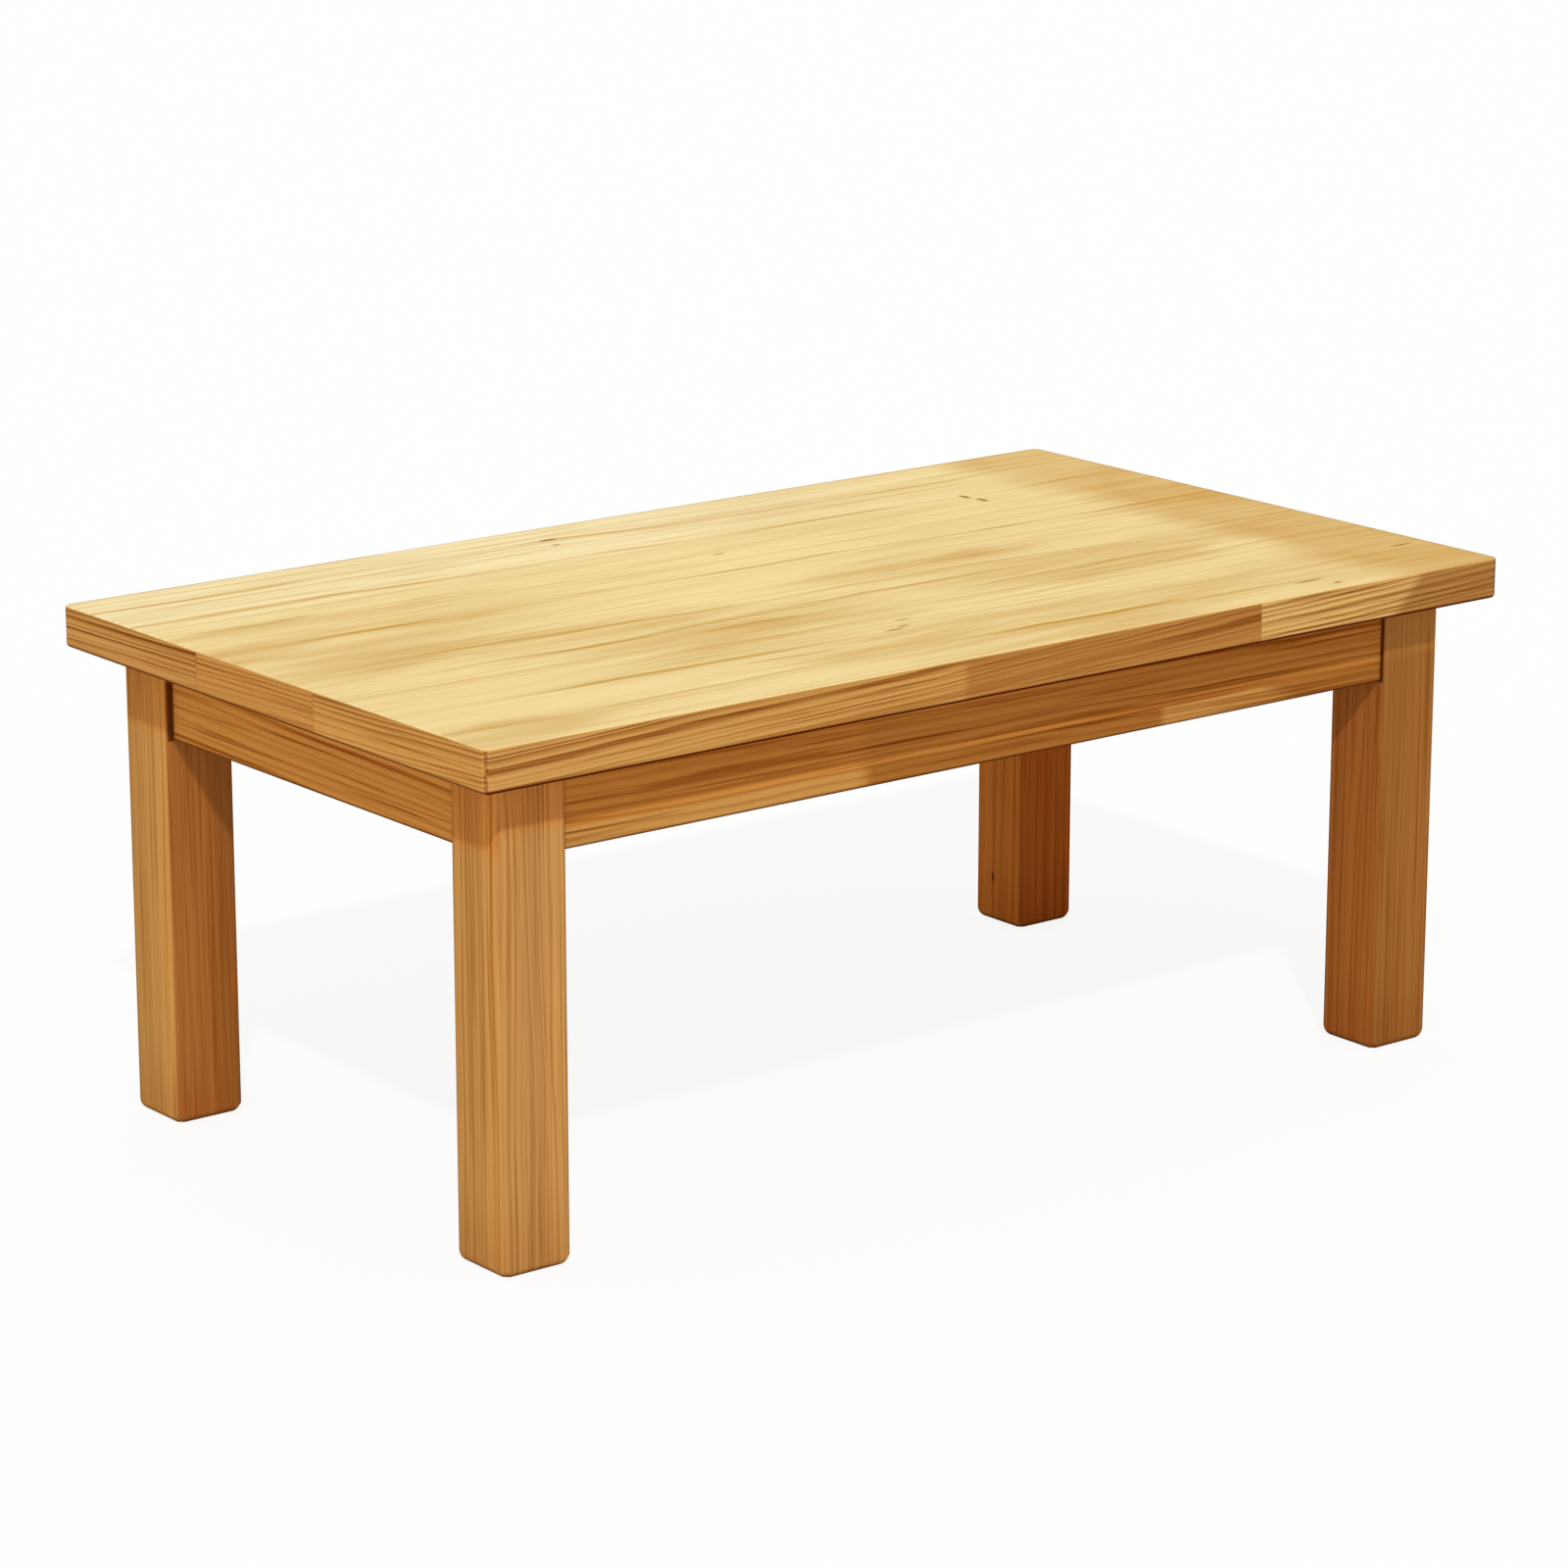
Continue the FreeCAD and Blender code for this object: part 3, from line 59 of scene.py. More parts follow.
def paint(red, green, blue):
    """A colour given as a screen shows it, 0 to 255, as linear light."""
    shares = [level / 255 for level in (red, green, blue)]
    return tuple(((share + 0.055) / 1.055) ** 2.4 for share in shares)


# Node trees

class Wire:
    """A socket of a node tree, for use in Python expressions."""

    def __init__(self, sheet, socket):
        self.sheet = sheet
        self.socket = socket

    def __add__(self, other):
        return self.sheet.maths("ADD", self, other)

    __radd__ = __add__

    def __sub__(self, other):
        return self.sheet.maths("SUBTRACT", self, other)

    def __rsub__(self, other):
        return self.sheet.maths("SUBTRACT", other, self)

    def __mul__(self, other):
        return self.sheet.maths("MULTIPLY", self, other)

    __rmul__ = __mul__

    def __truediv__(self, other):
        return self.sheet.maths("DIVIDE", self, other)

    def __pow__(self, other):
        return self.sheet.maths("POWER", self, other)

    def __abs__(self):
        return self.sheet.maths("ABSOLUTE", self)

    def capped(self):
        """Held at 1 where it would pass it."""
        return self.sheet.maths("MINIMUM", self, 1.0)

    def step(self, low, high):
        """Smooth rise from 0 at low to 1 at high."""
        inputs = {"Value": self, "From Min": low, "From Max": high}
        return self.sheet.node("ShaderNodeMapRange", {"interpolation_type": "SMOOTHSTEP"}, inputs)


class Sheet:
    """A node tree that is being filled in."""

    def __init__(self, tree):
        self.tree = tree

    def node(self, kind, settings=None, inputs=None, output=0):
        """Add a node, apply its settings, then fill its sockets, and give back one output."""
        made = self.tree.nodes.new(kind)
        for name, value in (settings or {}).items():
            setattr(made, name, value)
        for name, value in (inputs or {}).items():
            if isinstance(value, Wire):
                self.tree.links.new(value.socket, made.inputs[name])
            else:
                made.inputs[name].default_value = value
        return Wire(self, made.outputs[output])

    def maths(self, operation, *values):
        return self.node("ShaderNodeMath", {"operation": operation}, dict(enumerate(values)))

    def vector(self, x, y, z):
        return self.node("ShaderNodeCombineXYZ", None, {"X": x, "Y": y, "Z": z})


class Finish(Sheet):
    """One material, the nodes that make it, and its object's own coordinates in metres."""

    def __init__(self, name):
        self.material = bpy.data.materials.new(name)
        self.material.use_nodes = True
        super().__init__(self.material.node_tree)
        self.surface = self.tree.nodes["Principled BSDF"]
        spot = self.node("ShaderNodeTexCoord", output="Object")
        self.place = [self.node("ShaderNodeSeparateXYZ", None, {"Vector": spot}, axis)
                      for axis in range(3)]

    def noise(self, x, y, z, detail=2.0):
        inputs = {"Vector": self.vector(x, y, z), "Scale": 1.0, "Detail": detail}
        return self.node("ShaderNodeTexNoise", None, inputs)

    def grain(self, x, y, z, detail=2.0, marks=None):
        """Noise over the piece, finer along an axis the larger its number, or the marks in it."""
        spot = [axis * fineness for axis, fineness in zip(self.place, (x, y, z))]
        noise = self.noise(*spot, detail)
        return noise.step(*marks) if marks else noise

    def chance(self, number):
        """One random share for each whole number."""
        return self.node("ShaderNodeTexWhiteNoise", {"noise_dimensions": "1D"}, {"W": number})

    def mix(self, share, first, second):
        """Colour between two colours."""
        ends = [value if isinstance(value, Wire) else (*value, 1.0) for value in (first, second)]
        inputs = {0: share, 6: ends[0], 7: ends[1]}
        return self.node("ShaderNodeMix", {"data_type": "RGBA"}, inputs, 2)

    def scaled(self, colour, red, green, blue):
        """A colour with a share of each of its three parts."""
        shares = self.vector(red, green, blue)
        return self.node("ShaderNodeVectorMath", {"operation": "MULTIPLY"}, {0: colour, 1: shares})

    def tinted(self, colour, share):
        """A colour made darker or lighter all over by one share."""
        return self.scaled(colour, share, share, share)

    def toned(self, colour, level):
        """Wood's colour made darker or lighter by a level near 1; it warms as it darkens."""
        return self.scaled(colour, level, level ** 1.55, level ** 2.2)

    def bump(self, height, distance):
        return self.node("ShaderNodeBump", None, {"Height": height, "Distance": distance})

    def dress(self, **sockets):
        """Fill the surface's sockets, named in small letters with underscores."""
        for name, value in sockets.items():
            socket = self.surface.inputs[NAMED_SOCKETS[name]]
            if isinstance(value, Wire):
                self.tree.links.new(value.socket, socket)
            else:
                socket.default_value = value
        return self.material


NAMED_SOCKETS = {
    "colour": "Base Color",
    "roughness": "Roughness",
    "metallic": "Metallic",
    "normal": "Normal",
    "gloss": "Specular IOR Level",
    "transmission": "Transmission Weight",
    "ior": "IOR",
}


def coat(material, *names):
    """Give CAD nodes their finish."""
    for name in names:
        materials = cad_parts[name].data.materials
        materials.clear()
        materials.append(material)


def placed(name, data):
    """A new object in the scene."""
    made = bpy.data.objects.new(name, data)
    bpy.context.scene.collection.objects.link(made)
    return made


# Pine

def rings(finish, along, across, through, seed, pith, pitch, tilt, sway, crisp=1.8, unevenness=3.4):
    """Growth rings round a pith line, and how strong each one is.

    The first share climbs through each ring to its dark late wood and then drops sharply.
    """
    drift = finish.noise(along * 2.0 + seed, across * 8, through * 8) - 0.5
    quiver = finish.noise(along * 14 + seed, across * 50, through * 50, 1.0) - 0.5
    side = (across - pith[0]) ** 2 + (through - pith[1]) ** 2
    reach = side ** 0.5 + along * tilt + (drift + quiver * 0.12) * sway
    count = reach / pitch
    count = count + finish.noise(count * 0.40, seed, 0.0) * unevenness
    climb = finish.maths("FRACT", count)
    late = climb ** crisp * (1 - climb.step(0.74, 1.0)) * 1.7
    strength = finish.chance(finish.maths("FLOOR", count) + seed)
    return late, strength


def fibres(finish, along, across, through, seed):
    """Fine streaks that run with the grain."""
    return finish.noise(along * 14 + seed, across * 650, through * 650)


def streaks(finish, along, across, through, seed, spread):
    """Thin dark lines that break off and start again."""
    field = finish.noise(along * 5 + seed, across * spread, through * spread)
    return field.step(0.50, 0.68)


def ellipse(x, y, middle_x, middle_y, half_length, half_width):
    """1 in the middle of a long soft spot, 0 at its rim and outside."""
    reach = ((x - middle_x) / half_length) ** 2 + ((y - middle_y) / half_width) ** 2
    return 1 - reach.step(0.0, 1.0)


def most(*shares):
    """The largest of several shares."""
    result = shares[0]
    for share in shares[1:]:
        result = result.sheet.maths("MAXIMUM", result, share)
    return result


def spotted(x, y, spots):
    """The strongest of several long soft spots."""
    return most(*[ellipse(x, y, *spot) for spot in spots])


def stained(colour, shares):
    """A colour with each of its three parts scaled."""
    return tuple(part * share for part, share in zip(colour, shares))


def oiled(finish, colour, late, fibre):
    """Dull oil on wood whose late wood stands a little proud."""
    relief = finish.bump(late * 0.6 + fibre * 0.4, 0.0002)
    return finish.dress(colour=colour, roughness=0.50 + fibre * 0.12, gloss=0.0, normal=relief)


def lay_of(finish, name, grain):
    """Of a level piece: its length and its depth as wires, both its ends and its middle depth."""
    axis = "XY".index(grain)
    low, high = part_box(name)
    middle = (low[1 - axis] + high[1 - axis]) / 2
    return finish.place[axis], finish.place[1 - axis], (low[axis], high[axis]), middle


class KOTATSU_PG_pine(bpy.types.PropertyGroup):
    """Colours and growth of the table's pine."""

    top_pale: FloatVectorProperty(
        name="Top", description="Pale early wood of the face veneer",
        subtype="COLOR", min=0, max=1, default=paint(253, 231, 169))
    top_gold: FloatVectorProperty(
        name="Top Clouds", description="Golden clouds and late wood of the face veneer",
        subtype="COLOR", min=0, max=1, default=paint(214, 167, 92))
    band: FloatVectorProperty(
        name="Edge Bands", description="Early wood of the four edge bands",
        subtype="COLOR", min=0, max=1, default=paint(201, 147, 79))
    edge_line: FloatVectorProperty(
        name="Edge Lines", description="Dark brown along the top's edges and the legs' arrises",
        subtype="COLOR", min=0, max=1, default=paint(108, 50, 8))
    leg: FloatVectorProperty(
        name="Legs", description="Early wood of the legs' staves",
        subtype="COLOR", min=0, max=1, default=paint(204, 146, 72))
    apron: FloatVectorProperty(
        name="Aprons", description="Early wood of the aprons",
        subtype="COLOR", min=0, max=1, default=paint(219, 147, 69))
    # Painted light: the colour of the front apron's lit low strip and sliver.
    apron_lit: FloatVectorProperty(
        name="Apron Painted Light", description="Painted light low on the front apron",
        subtype="COLOR", min=0, max=1, default=paint(199, 144, 75))
    apron_line: FloatVectorProperty(
        name="Apron Lines", description="Dark brown along the aprons' ends and lower edges",
        subtype="COLOR", min=0, max=1, default=paint(124, 60, 14))
    top_ring: FloatProperty(
        name="Top Ring Width", description="Mean width of a growth ring in the face veneer",
        unit="LENGTH", min=0.001, default=0.017)
    band_ring: FloatProperty(
        name="Band Ring Width", description="Mean width of a growth ring in the edge bands",
        unit="LENGTH", min=0.001, default=0.0046)
    apron_ring: FloatProperty(
        name="Apron Ring Width", description="Mean width of a growth ring in the aprons",
        unit="LENGTH", min=0.001, default=0.0064)
    leg_ring: FloatProperty(
        name="Leg Ring Width", description="Mean width of a growth ring in the legs' staves",
        unit="LENGTH", min=0.001, default=0.0042)
    stave: FloatProperty(
        name="Stave Width", description="Width of the square staves that each leg is glued from",
        unit="LENGTH", min=0.005, default=0.0211)


# The marks of the top: each one's middle x and y, half its length and half its width.
# Golden clouds: partly wood figure, partly painted shade of dappled light falling on the top.
TOP_CLOUDS_AND_SHADE = [
    (-0.400, 0.070, 0.27, 0.115), (-0.460, -0.010, 0.22, 0.070), (-0.150, -0.125, 0.21, 0.075),
    (0.250, -0.095, 0.22, 0.070), (0.120, -0.015, 0.16, 0.045), (0.040, -0.240, 0.30, 0.075),
    (-0.480, -0.275, 0.11, 0.050), (-0.250, -0.045, 0.19, 0.042),
]
# Pale spots: partly wood figure, partly painted light of dappled light falling on the top.
TOP_PALE = [
    (-0.345, -0.140, 0.16, 0.024), (0.110, -0.165, 0.12, 0.030), (0.385, -0.130, 0.06, 0.030),
    (-0.175, 0.200, 0.38, 0.026), (0.010, 0.065, 0.16, 0.060), (-0.100, 0.300, 0.62, 0.062),
]
TOP_STREAKS = [
    (-0.215, -0.081, 0.28, 0.0062), (0.060, -0.072, 0.20, 0.0052), (0.215, -0.108, 0.17, 0.0062),
    (-0.255, -0.186, 0.25, 0.0052), (-0.125, -0.104, 0.07, 0.0060), (-0.165, -0.209, 0.07, 0.0052),
    (0.105, -0.252, 0.16, 0.0052), (-0.445, 0.142, 0.08, 0.0056), (-0.385, 0.068, 0.09, 0.0056),
    (-0.330, -0.030, 0.22, 0.0056), (0.440, -0.222, 0.12, 0.0040),
]
TOP_KNOTS = [
    (-0.070, 0.255, 0.013, 0.0045), (-0.076, 0.235, 0.007, 0.0030), (0.012, 0.120, 0.009, 0.0024),
    (0.329, 0.171, 0.0040, 0.0120), (0.333, 0.151, 0.0045, 0.0110), (-0.047, -0.1885, 0.014, 0.0026),
    (-0.033, -0.1830, 0.010, 0.0024), (-0.020, -0.1645, 0.011, 0.0018), (0.336, -0.266, 0.020, 0.0026),
    (0.351, -0.284, 0.007, 0.0030), (0.495, -0.213, 0.016, 0.0028),
]
TOP_KNOT_COLOUR = paint(146, 84, 4)

# Where the top's wood changes, from and to: its browner end by length, painted shade where the light
# falls off to the right, its calmer near left part and its paler far side by length and by width, the
# paleness painted light, and the slow turn to gold over all of it, painted shade towards the right.
SHADED_RIGHT_END = (0.380, 0.450)
CALM_PART = ((-0.47, -0.33), (0.06, 0.16))
PALE_SIDE = ((0.05, 0.50), (0.12, 0.24))
SLOW_GOLD_AND_SHADE = ((-0.1, 0.7), (-0.35, 0.35))


class KOTATSU_OT_tabletop(bpy.types.Operator):
    """Veneer the tabletop's face and finish the boards, ribs and paper core under it"""

    bl_idname = "kotatsu.tabletop"
    bl_label = "Tabletop"

    def execute(self, context):
        pine = context.scene.kotatsu_pine
        coat(top_veneer(pine), "tabletop_face_veneer")
        coat(plywood(), "tabletop_upper_board", "tabletop_lower_board")
        coat(softwood("core_stiles", "X"), "tabletop_core_stiles")
        coat(softwood("core_ribs", "Y"), "tabletop_core_ribs")
        coat(honeycomb_paper(), "tabletop_core_filling")
        return {"FINISHED"}


def top_veneer(pine):
    """Pale veneer with long soft rings, golden clouds, a browner right end and a few dark dashes, with
    painted light and shade in the clouds, pale spots, far side and right end.
    """
    finish = Finish("pine_top")
    x, y, z = finish.place
    late, strength = rings(finish, x, y, z, 3.0, pith=(-0.60, 0.43), pitch=pine.top_ring,
                           tilt=0.012, sway=0.055, crisp=1.1)
    fibre = fibres(finish, x, y, z, 1.0)
    wave = finish.noise(x * 6, y * 14, 4.0) - 0.5
    colour = finish.mix(gold_share(finish, wave), pine.top_pale, pine.top_gold)
    fade = finish.noise(x * 5, y * 22, 15.0).step(0.40, 0.62)
    fine = streaks(finish, x, y, 2.0, 4.0, 120)
    lines = spotted(x, y + wave * 0.024, TOP_STREAKS)
    drawn = late * (0.08 + strength.step(0.2, 1.0) * (0.20 + fade * 0.45)) + fine * 0.32 + lines * 0.70
    calm = (1 - x.step(*CALM_PART[0])) * (1 - y.step(*CALM_PART[1]))
    far = (1 - x.step(*PALE_SIDE[0])) * y.step(*PALE_SIDE[1])
    drawn = (drawn * (0.80 + far * 0.40 - calm * 0.36)).capped()
    colour = finish.mix(drawn, colour, stained(pine.top_gold, (0.92, 0.90, 0.68)))
    # Painted light: the far side drawn paler.
    colour = finish.scaled(colour, 1 + far * 0.02, 1 + far * 0.06, 1 + far * 0.22)
    colour = finish.toned(colour, 0.97 + fibre * 0.06)
    rough_x = x + (finish.noise(x * 120, y * 200, 1.0) - 0.5) * 0.008
    knots = spotted(rough_x, y, TOP_KNOTS)
    colour = finish.mix(knots * 0.74, colour, TOP_KNOT_COLOUR)
    far_sides = most(x - TOP_HIGH.x, y - TOP_HIGH.y).step(-0.0034, -0.0010)
    arris = 1 - z.step(TOP_HIGH.z - 0.0010, TOP_HIGH.z - 0.0002)
    colour = finish.mix(arris * 0.45, colour, pine.band)
    colour = finish.mix(far_sides * 0.8, colour, stained(pine.edge_line, (0.7, 0.7, 0.7)))
    return oiled(finish, colour, late, fibre)


def gold_share(finish, wave):
    """How golden the veneer is from place to place: clouds, mottle, wisps and the brown end; the
    clouds, the turn to gold on the right and the brown end hold painted shade, the pale spots painted
    light.
    """
    x, y = finish.place[:2]
    wavy_x, wavy_y = x + wave * 0.10, y + wave * 0.035
    # Painted shade and light, partly wood figure: the clouds and the pale spots.
    clouds = spotted(wavy_x, wavy_y, TOP_CLOUDS_AND_SHADE)
    pale = spotted(wavy_x, wavy_y, TOP_PALE)
    mottle = finish.noise(x * 3.2, y * 11, 9.0, 3.0).step(0.44, 0.70)
    drifts = finish.noise(x * 4, wavy_y * 34, 6.0).step(0.36, 0.66)
    wisps = finish.noise(x * 3.4, wavy_y * 85, 12.0).step(0.46, 0.66)
    gold = clouds * (0.14 + drifts * 0.36) + mottle * (0.08 + drifts * 0.18) + wisps * 0.12
    # Painted shade: the slow turn to gold towards the right, where the light falls off.
    gold = gold + x.step(*SLOW_GOLD_AND_SHADE[0]) * 0.12 + (1 - y.step(*SLOW_GOLD_AND_SHADE[1])) * 0.10
    blotches = finish.noise(x * 9, y * 7, 3.0).step(0.35, 0.65)
    # Painted shade: the browner right end, where the light falls off.
    brown = (x + wave * 0.07).step(*SHADED_RIGHT_END) * (0.42 + blotches * 0.20)
    return (gold * (1 - pale * 0.7) + brown).capped()


# For each band: its grain, its own growth, the share of the bands' colour that its first length
# shows, and its further lengths: where one starts, how softly, how that line leans with height,
# its share of the colour, how bold its lines are, and whether it is a new piece of wood.
BAND_WOODS = {
    # Front band: the changes at -0.066 and 0.400 start no new piece and are painted shade; the new,
    # paler length from 0.250 is partly painted light.
    "edge_band_front": {
        "grain": "X", "seed": 4.0, "tilt": -0.036, "first": (1.0, 1.0, 1.0),
        "lengths": ((-0.066, 0.006, 0.0, (0.767, 0.66, 0.563), 0.75, 0),
                    (0.250, 0.0006, 0.0, (1.15, 1.34, 1.59), 1.1, 1),
                    (0.400, 0.010, 1.0, (0.70, 0.635, 0.607), 0.75, 0))},
    "edge_band_back": {
        "grain": "X", "seed": 11.0, "tilt": 0.030, "first": (1.0, 1.0, 1.0),
        "lengths": ((-0.210, 0.0006, 0.0, (0.88, 0.82, 0.76), 0.8, 1),)},
    "edge_band_left": {
        "grain": "Y", "seed": 7.0, "tilt": 0.030, "first": (1.08, 1.03, 0.98),
        "lengths": ((-0.071, 0.0006, 0.0, (0.99, 0.88, 0.80), 0.9, 1),
                    (0.096, 0.0006, 0.0, (0.96, 0.90, 0.88), 1.0, 1))},
    "edge_band_right": {
        "grain": "Y", "seed": 15.0, "tilt": -0.025, "first": (0.95, 0.92, 0.88),
        "lengths": ((0.060, 0.0006, 0.0, (1.04, 1.04, 1.04), 1.0, 1),)},
}
# How dark the painted shade along a band's lower edge is, by the band's grain.
LOWER_SHADE_SHARES = {"X": 0.96, "Y": 0.72}
# How far a new length's figure is moved from that of the length before it.
NEW_WOOD = 3.7


class KOTATSU_OT_edge_bands(bpy.types.Operator):
    """Finish the four streaked edge bands"""

    bl_idname = "kotatsu.edge_bands"
    bl_label = "Edge Bands"

    def execute(self, context):
        pine = context.scene.kotatsu_pine
        for name, wood in BAND_WOODS.items():
            coat(band_wood(name, pine, **wood), name)
        return {"FINISHED"}


def band_wood(name, pine, grain, seed, tilt, first, lengths):
    """Darker pine, streaked most near its upper edge, of a few lengths that butt end to end, some
    stretches darker or paler by painted shade and light.
    """
    finish = Finish("pine_" + name)
    z = finish.place[2]
    low, high = [corner.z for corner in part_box(name)]
    along, through, ends, depth = lay_of(finish, name, grain)
    early, bold, section = stained(pine.band, first), 1.0, seed
    # Each length's share of the colour, on the front band partly painted shade and light.
    for place, softness, lean, shares, boldness, fresh in lengths:
        leaning = along - (z - low) * lean
        passed = leaning.step(place - softness, place + softness)
        early = finish.mix(passed, early, stained(pine.band, shares))
        bold = passed * boldness + (1 - passed) * bold
        section = passed * (fresh * NEW_WOOD) + section
    late, strength = rings(finish, along, z, through, section, pith=(0.30, depth + 0.04),
                           pitch=pine.band_ring, tilt=tilt, sway=0.014)
    fibre = fibres(finish, along, z, through, seed)
    fine = streaks(finish, along, z, through, section, 420)
    upper = z.step(low - 0.004, high - 0.008)
    patch = finish.noise(along * 4 + seed, z * 40, through * 40).step(0.36, 0.62)
    lines = late * (0.30 + strength * 0.70) * (0.45 + upper * 0.60) * (0.62 + patch * 0.50)
    drawn = (lines + fine * 0.32).capped() * bold
    broad = finish.noise(along * 3 + seed, z * 60, through * 60)
    colour = finish.toned(early, (0.95 + broad * 0.26 + fibre * 0.07) * (1 - drawn * 0.74))
    arris = z.step(high - 0.0016, high - 0.0004)
    colour = finish.mix(arris * 0.5, colour, pine.top_gold)
    # Painted shade along the band's rounded lower edge, which turns away from the light.
    lower_shade = (1 - z.step(low + 0.0020, low + 0.0036)) * LOWER_SHADE_SHARES[grain]
    far_mitre = along.step(ends[1] - 0.0040, ends[1] - 0.0016)
    near_mitre = 1 - along.step(ends[0] + 0.0005, ends[0] + 0.0014)
    shade = most(lower_shade, far_mitre * 0.75, near_mitre * 0.42)
    colour = finish.mix(shade, colour, stained(pine.edge_line, (0.60, 0.14, 0.02)))
    return oiled(finish, colour, late, fibre)


# For each leg, how much of the legs' colour shows on its near side and on its front face, and the
# painted shade and light at its head, beside the aprons, where the top's shadow falls. The right legs'
# darker, redder sides and fronts and the back left leg's darker front are painted shade, light falling
# off to the right and under the table. The far faces are alike on all legs.
LEG_WOODS = {
    "leg_front_left": {
        "seed": 1.0, "side": (1.05, 1.09, 1.35), "front": (0.94, 1.00, 1.36),
        "head": (0.06, -0.16, -0.34)},
    "leg_front_right": {
        "seed": 2.7, "side": (0.68, 0.474, 0.44), "front": (0.576, 0.481, 0.51),
        "head": (0.22, 0.28, 0.30)},
    "leg_back_left": {
        "seed": 5.3, "side": (1.00, 1.047, 1.30), "front": (0.68, 0.515, 0.504),
        "head": (0.04, -0.12, -0.28)},
    "leg_back_right": {
        "seed": 8.1, "side": (1.09, 0.74, 0.56), "front": (0.76, 0.41, 0.27),
        "head": (0.0, 0.0, 0.0)},
}
LEG_FAR_FACES = (1.02, 0.90, 0.92)
# Heights between which the head's painted shade sets in, at the edge of the top's shadow, how much
# higher that is on the front faces, and the height up to which a leg darkens towards its foot.
LEG_SHADE_HEIGHTS = (0.328, 0.341)
FRONT_SHADE_LIFT = 0.017
FOOT_DUSK = 0.080
# The knot on the back right leg: its middle y and z, half its width and half its height.
LEG_KNOT = (0.241, 0.0425, 0.0018, 0.0070)
LEG_KNOT_COLOUR = paint(74, 26, 6)
# How far out the aprons' outer faces and the legs' inner ones lie, and the aprons' lower edge.
APRON_OUTSIDE = (-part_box("apron_left")[0].x, -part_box("apron_front")[0].y)
APRON_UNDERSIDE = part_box("apron_front")[0].z
LEG_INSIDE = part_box("leg_back_right")[0]


class KOTATSU_OT_legs(bpy.types.Operator):
    """Finish the four legs, each glued from square staves"""

    bl_idname = "kotatsu.legs"
    bl_label = "Legs"

    def execute(self, context):
        pine = context.scene.kotatsu_pine
        for name, wood in LEG_WOODS.items():
            coat(leg_wood(name, pine, **wood), name)
        return {"FINISHED"}


def leg_wood(name, pine, seed, side, front, head):
    """Staves of differing tone with their own upright rings, darker at arrises and feet, with painted
    shade on shaded faces and beside the aprons, and painted shade and light at the head.
    """
    finish = Finish("pine_" + name)
    x, y, z = finish.place
    low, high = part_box(name)
    column = finish.maths("FLOOR", (x - low.x) / pine.stave)
    row = finish.maths("FLOOR", (y - low.y) / pine.stave)
    stave = column + row * 7 + seed * 13
    luck = finish.chance(stave)
    other = finish.chance(stave + 0.5)
    late, strength = rings(finish, z, x + luck * 0.4, y + other * 0.4, luck * 5 + seed,
                           pith=(-0.80, -0.80), pitch=pine.leg_ring, tilt=0.006, sway=0.016)
    fibre = fibres(finish, z, x, y, seed)
    fine = streaks(finish, z, x, y, luck * 5 + seed, 340)
    front_face = 1 - y.step(low.y + 0.0004, low.y + 0.0030)
    far_faces = most(x - high.x, y - high.y).step(-0.0030, -0.0004)
    # Painted shade in the sides and fronts of the right legs and in the back left leg's front.
    early = finish.mix(front_face, stained(pine.leg, side), stained(pine.leg, front))
    early = finish.mix(far_faces, early, stained(pine.leg, LEG_FAR_FACES))
    lines = (late * (0.12 + strength * 0.55) + fine * 0.58).capped()
    colour = finish.scaled(early, 1 - lines * 0.34, 1 - lines * 0.48, 1 - lines * 0.70)
    broad = finish.noise(z * 4 + seed, x * 60, y * 60)
    colour = finish.tinted(colour, 0.73 + luck * 0.20 + broad * 0.24 + fibre * 0.10)
    # Painted shade at the head along the top's shadow: redder on the left legs, painted lighter on the
    # front right leg.
    upper = (z - front_face * FRONT_SHADE_LIFT).step(*LEG_SHADE_HEIGHTS)
    colour = finish.scaled(colour, *[1 + upper * share for share in head])
    colour = finish.toned(colour, 1 - (1 - z.step(0.0, FOOT_DUSK)) * 0.10)
    shade = leg_shade(finish, low, high)
    colour = finish.mix(shade, colour, stained(pine.edge_line, (0.45, 0.30, 0.30)))
    if name == "leg_back_right":
        knot = ellipse(y, z, *LEG_KNOT) * (1 - x.step(low.x + 0.001, low.x + 0.004))
        colour = finish.mix(knot, colour, LEG_KNOT_COLOUR)
    return oiled(finish, colour, late, fibre)


def leg_shade(finish, low, high):
    """How dark a leg's upright arrises, its foot and its strips beside the aprons are, the strips'
    darkness being painted shade.
    """
    x, y, z = finish.place
    half = (high.x - low.x) / 2
    out_x = abs(x - (low.x + half)).step(half - 0.0030, half - 0.0008)
    out_y = abs(y - (low.y + half)).step(half - 0.0030, half - 0.0008)
    near = (1 - x.step(low.x + 0.004, low.x + 0.008)) * (1 - y.step(low.y + 0.004, low.y + 0.008))
    foot = 1 - z.step(0.0005, 0.0065)
    arrises = out_x * out_y * (0.60 - near * 0.40)
    return most(arrises, foot * 0.75, painted_recess_shade(finish) * 0.92)


def painted_recess_shade(finish):
    """Painted shade: 1 on the narrow strips of a leg that stand proud beside the long aprons, less by
    the short.
    """
    x, y, z = finish.place
    strips = []
    for across, inward, outside, inside, share in (
            (abs(y), abs(x), APRON_OUTSIDE[1], LEG_INSIDE.x, 1.0),
            (abs(x), abs(y), APRON_OUTSIDE[0], LEG_INSIDE.y, 0.86)):
        proud = across.step(outside - 0.0012, outside - 0.0002)
        strips.append(proud * (1 - inward.step(inside + 0.0004, inside + 0.0016)) * share)
    return most(*strips) * z.step(APRON_UNDERSIDE - 0.002, APRON_UNDERSIDE)


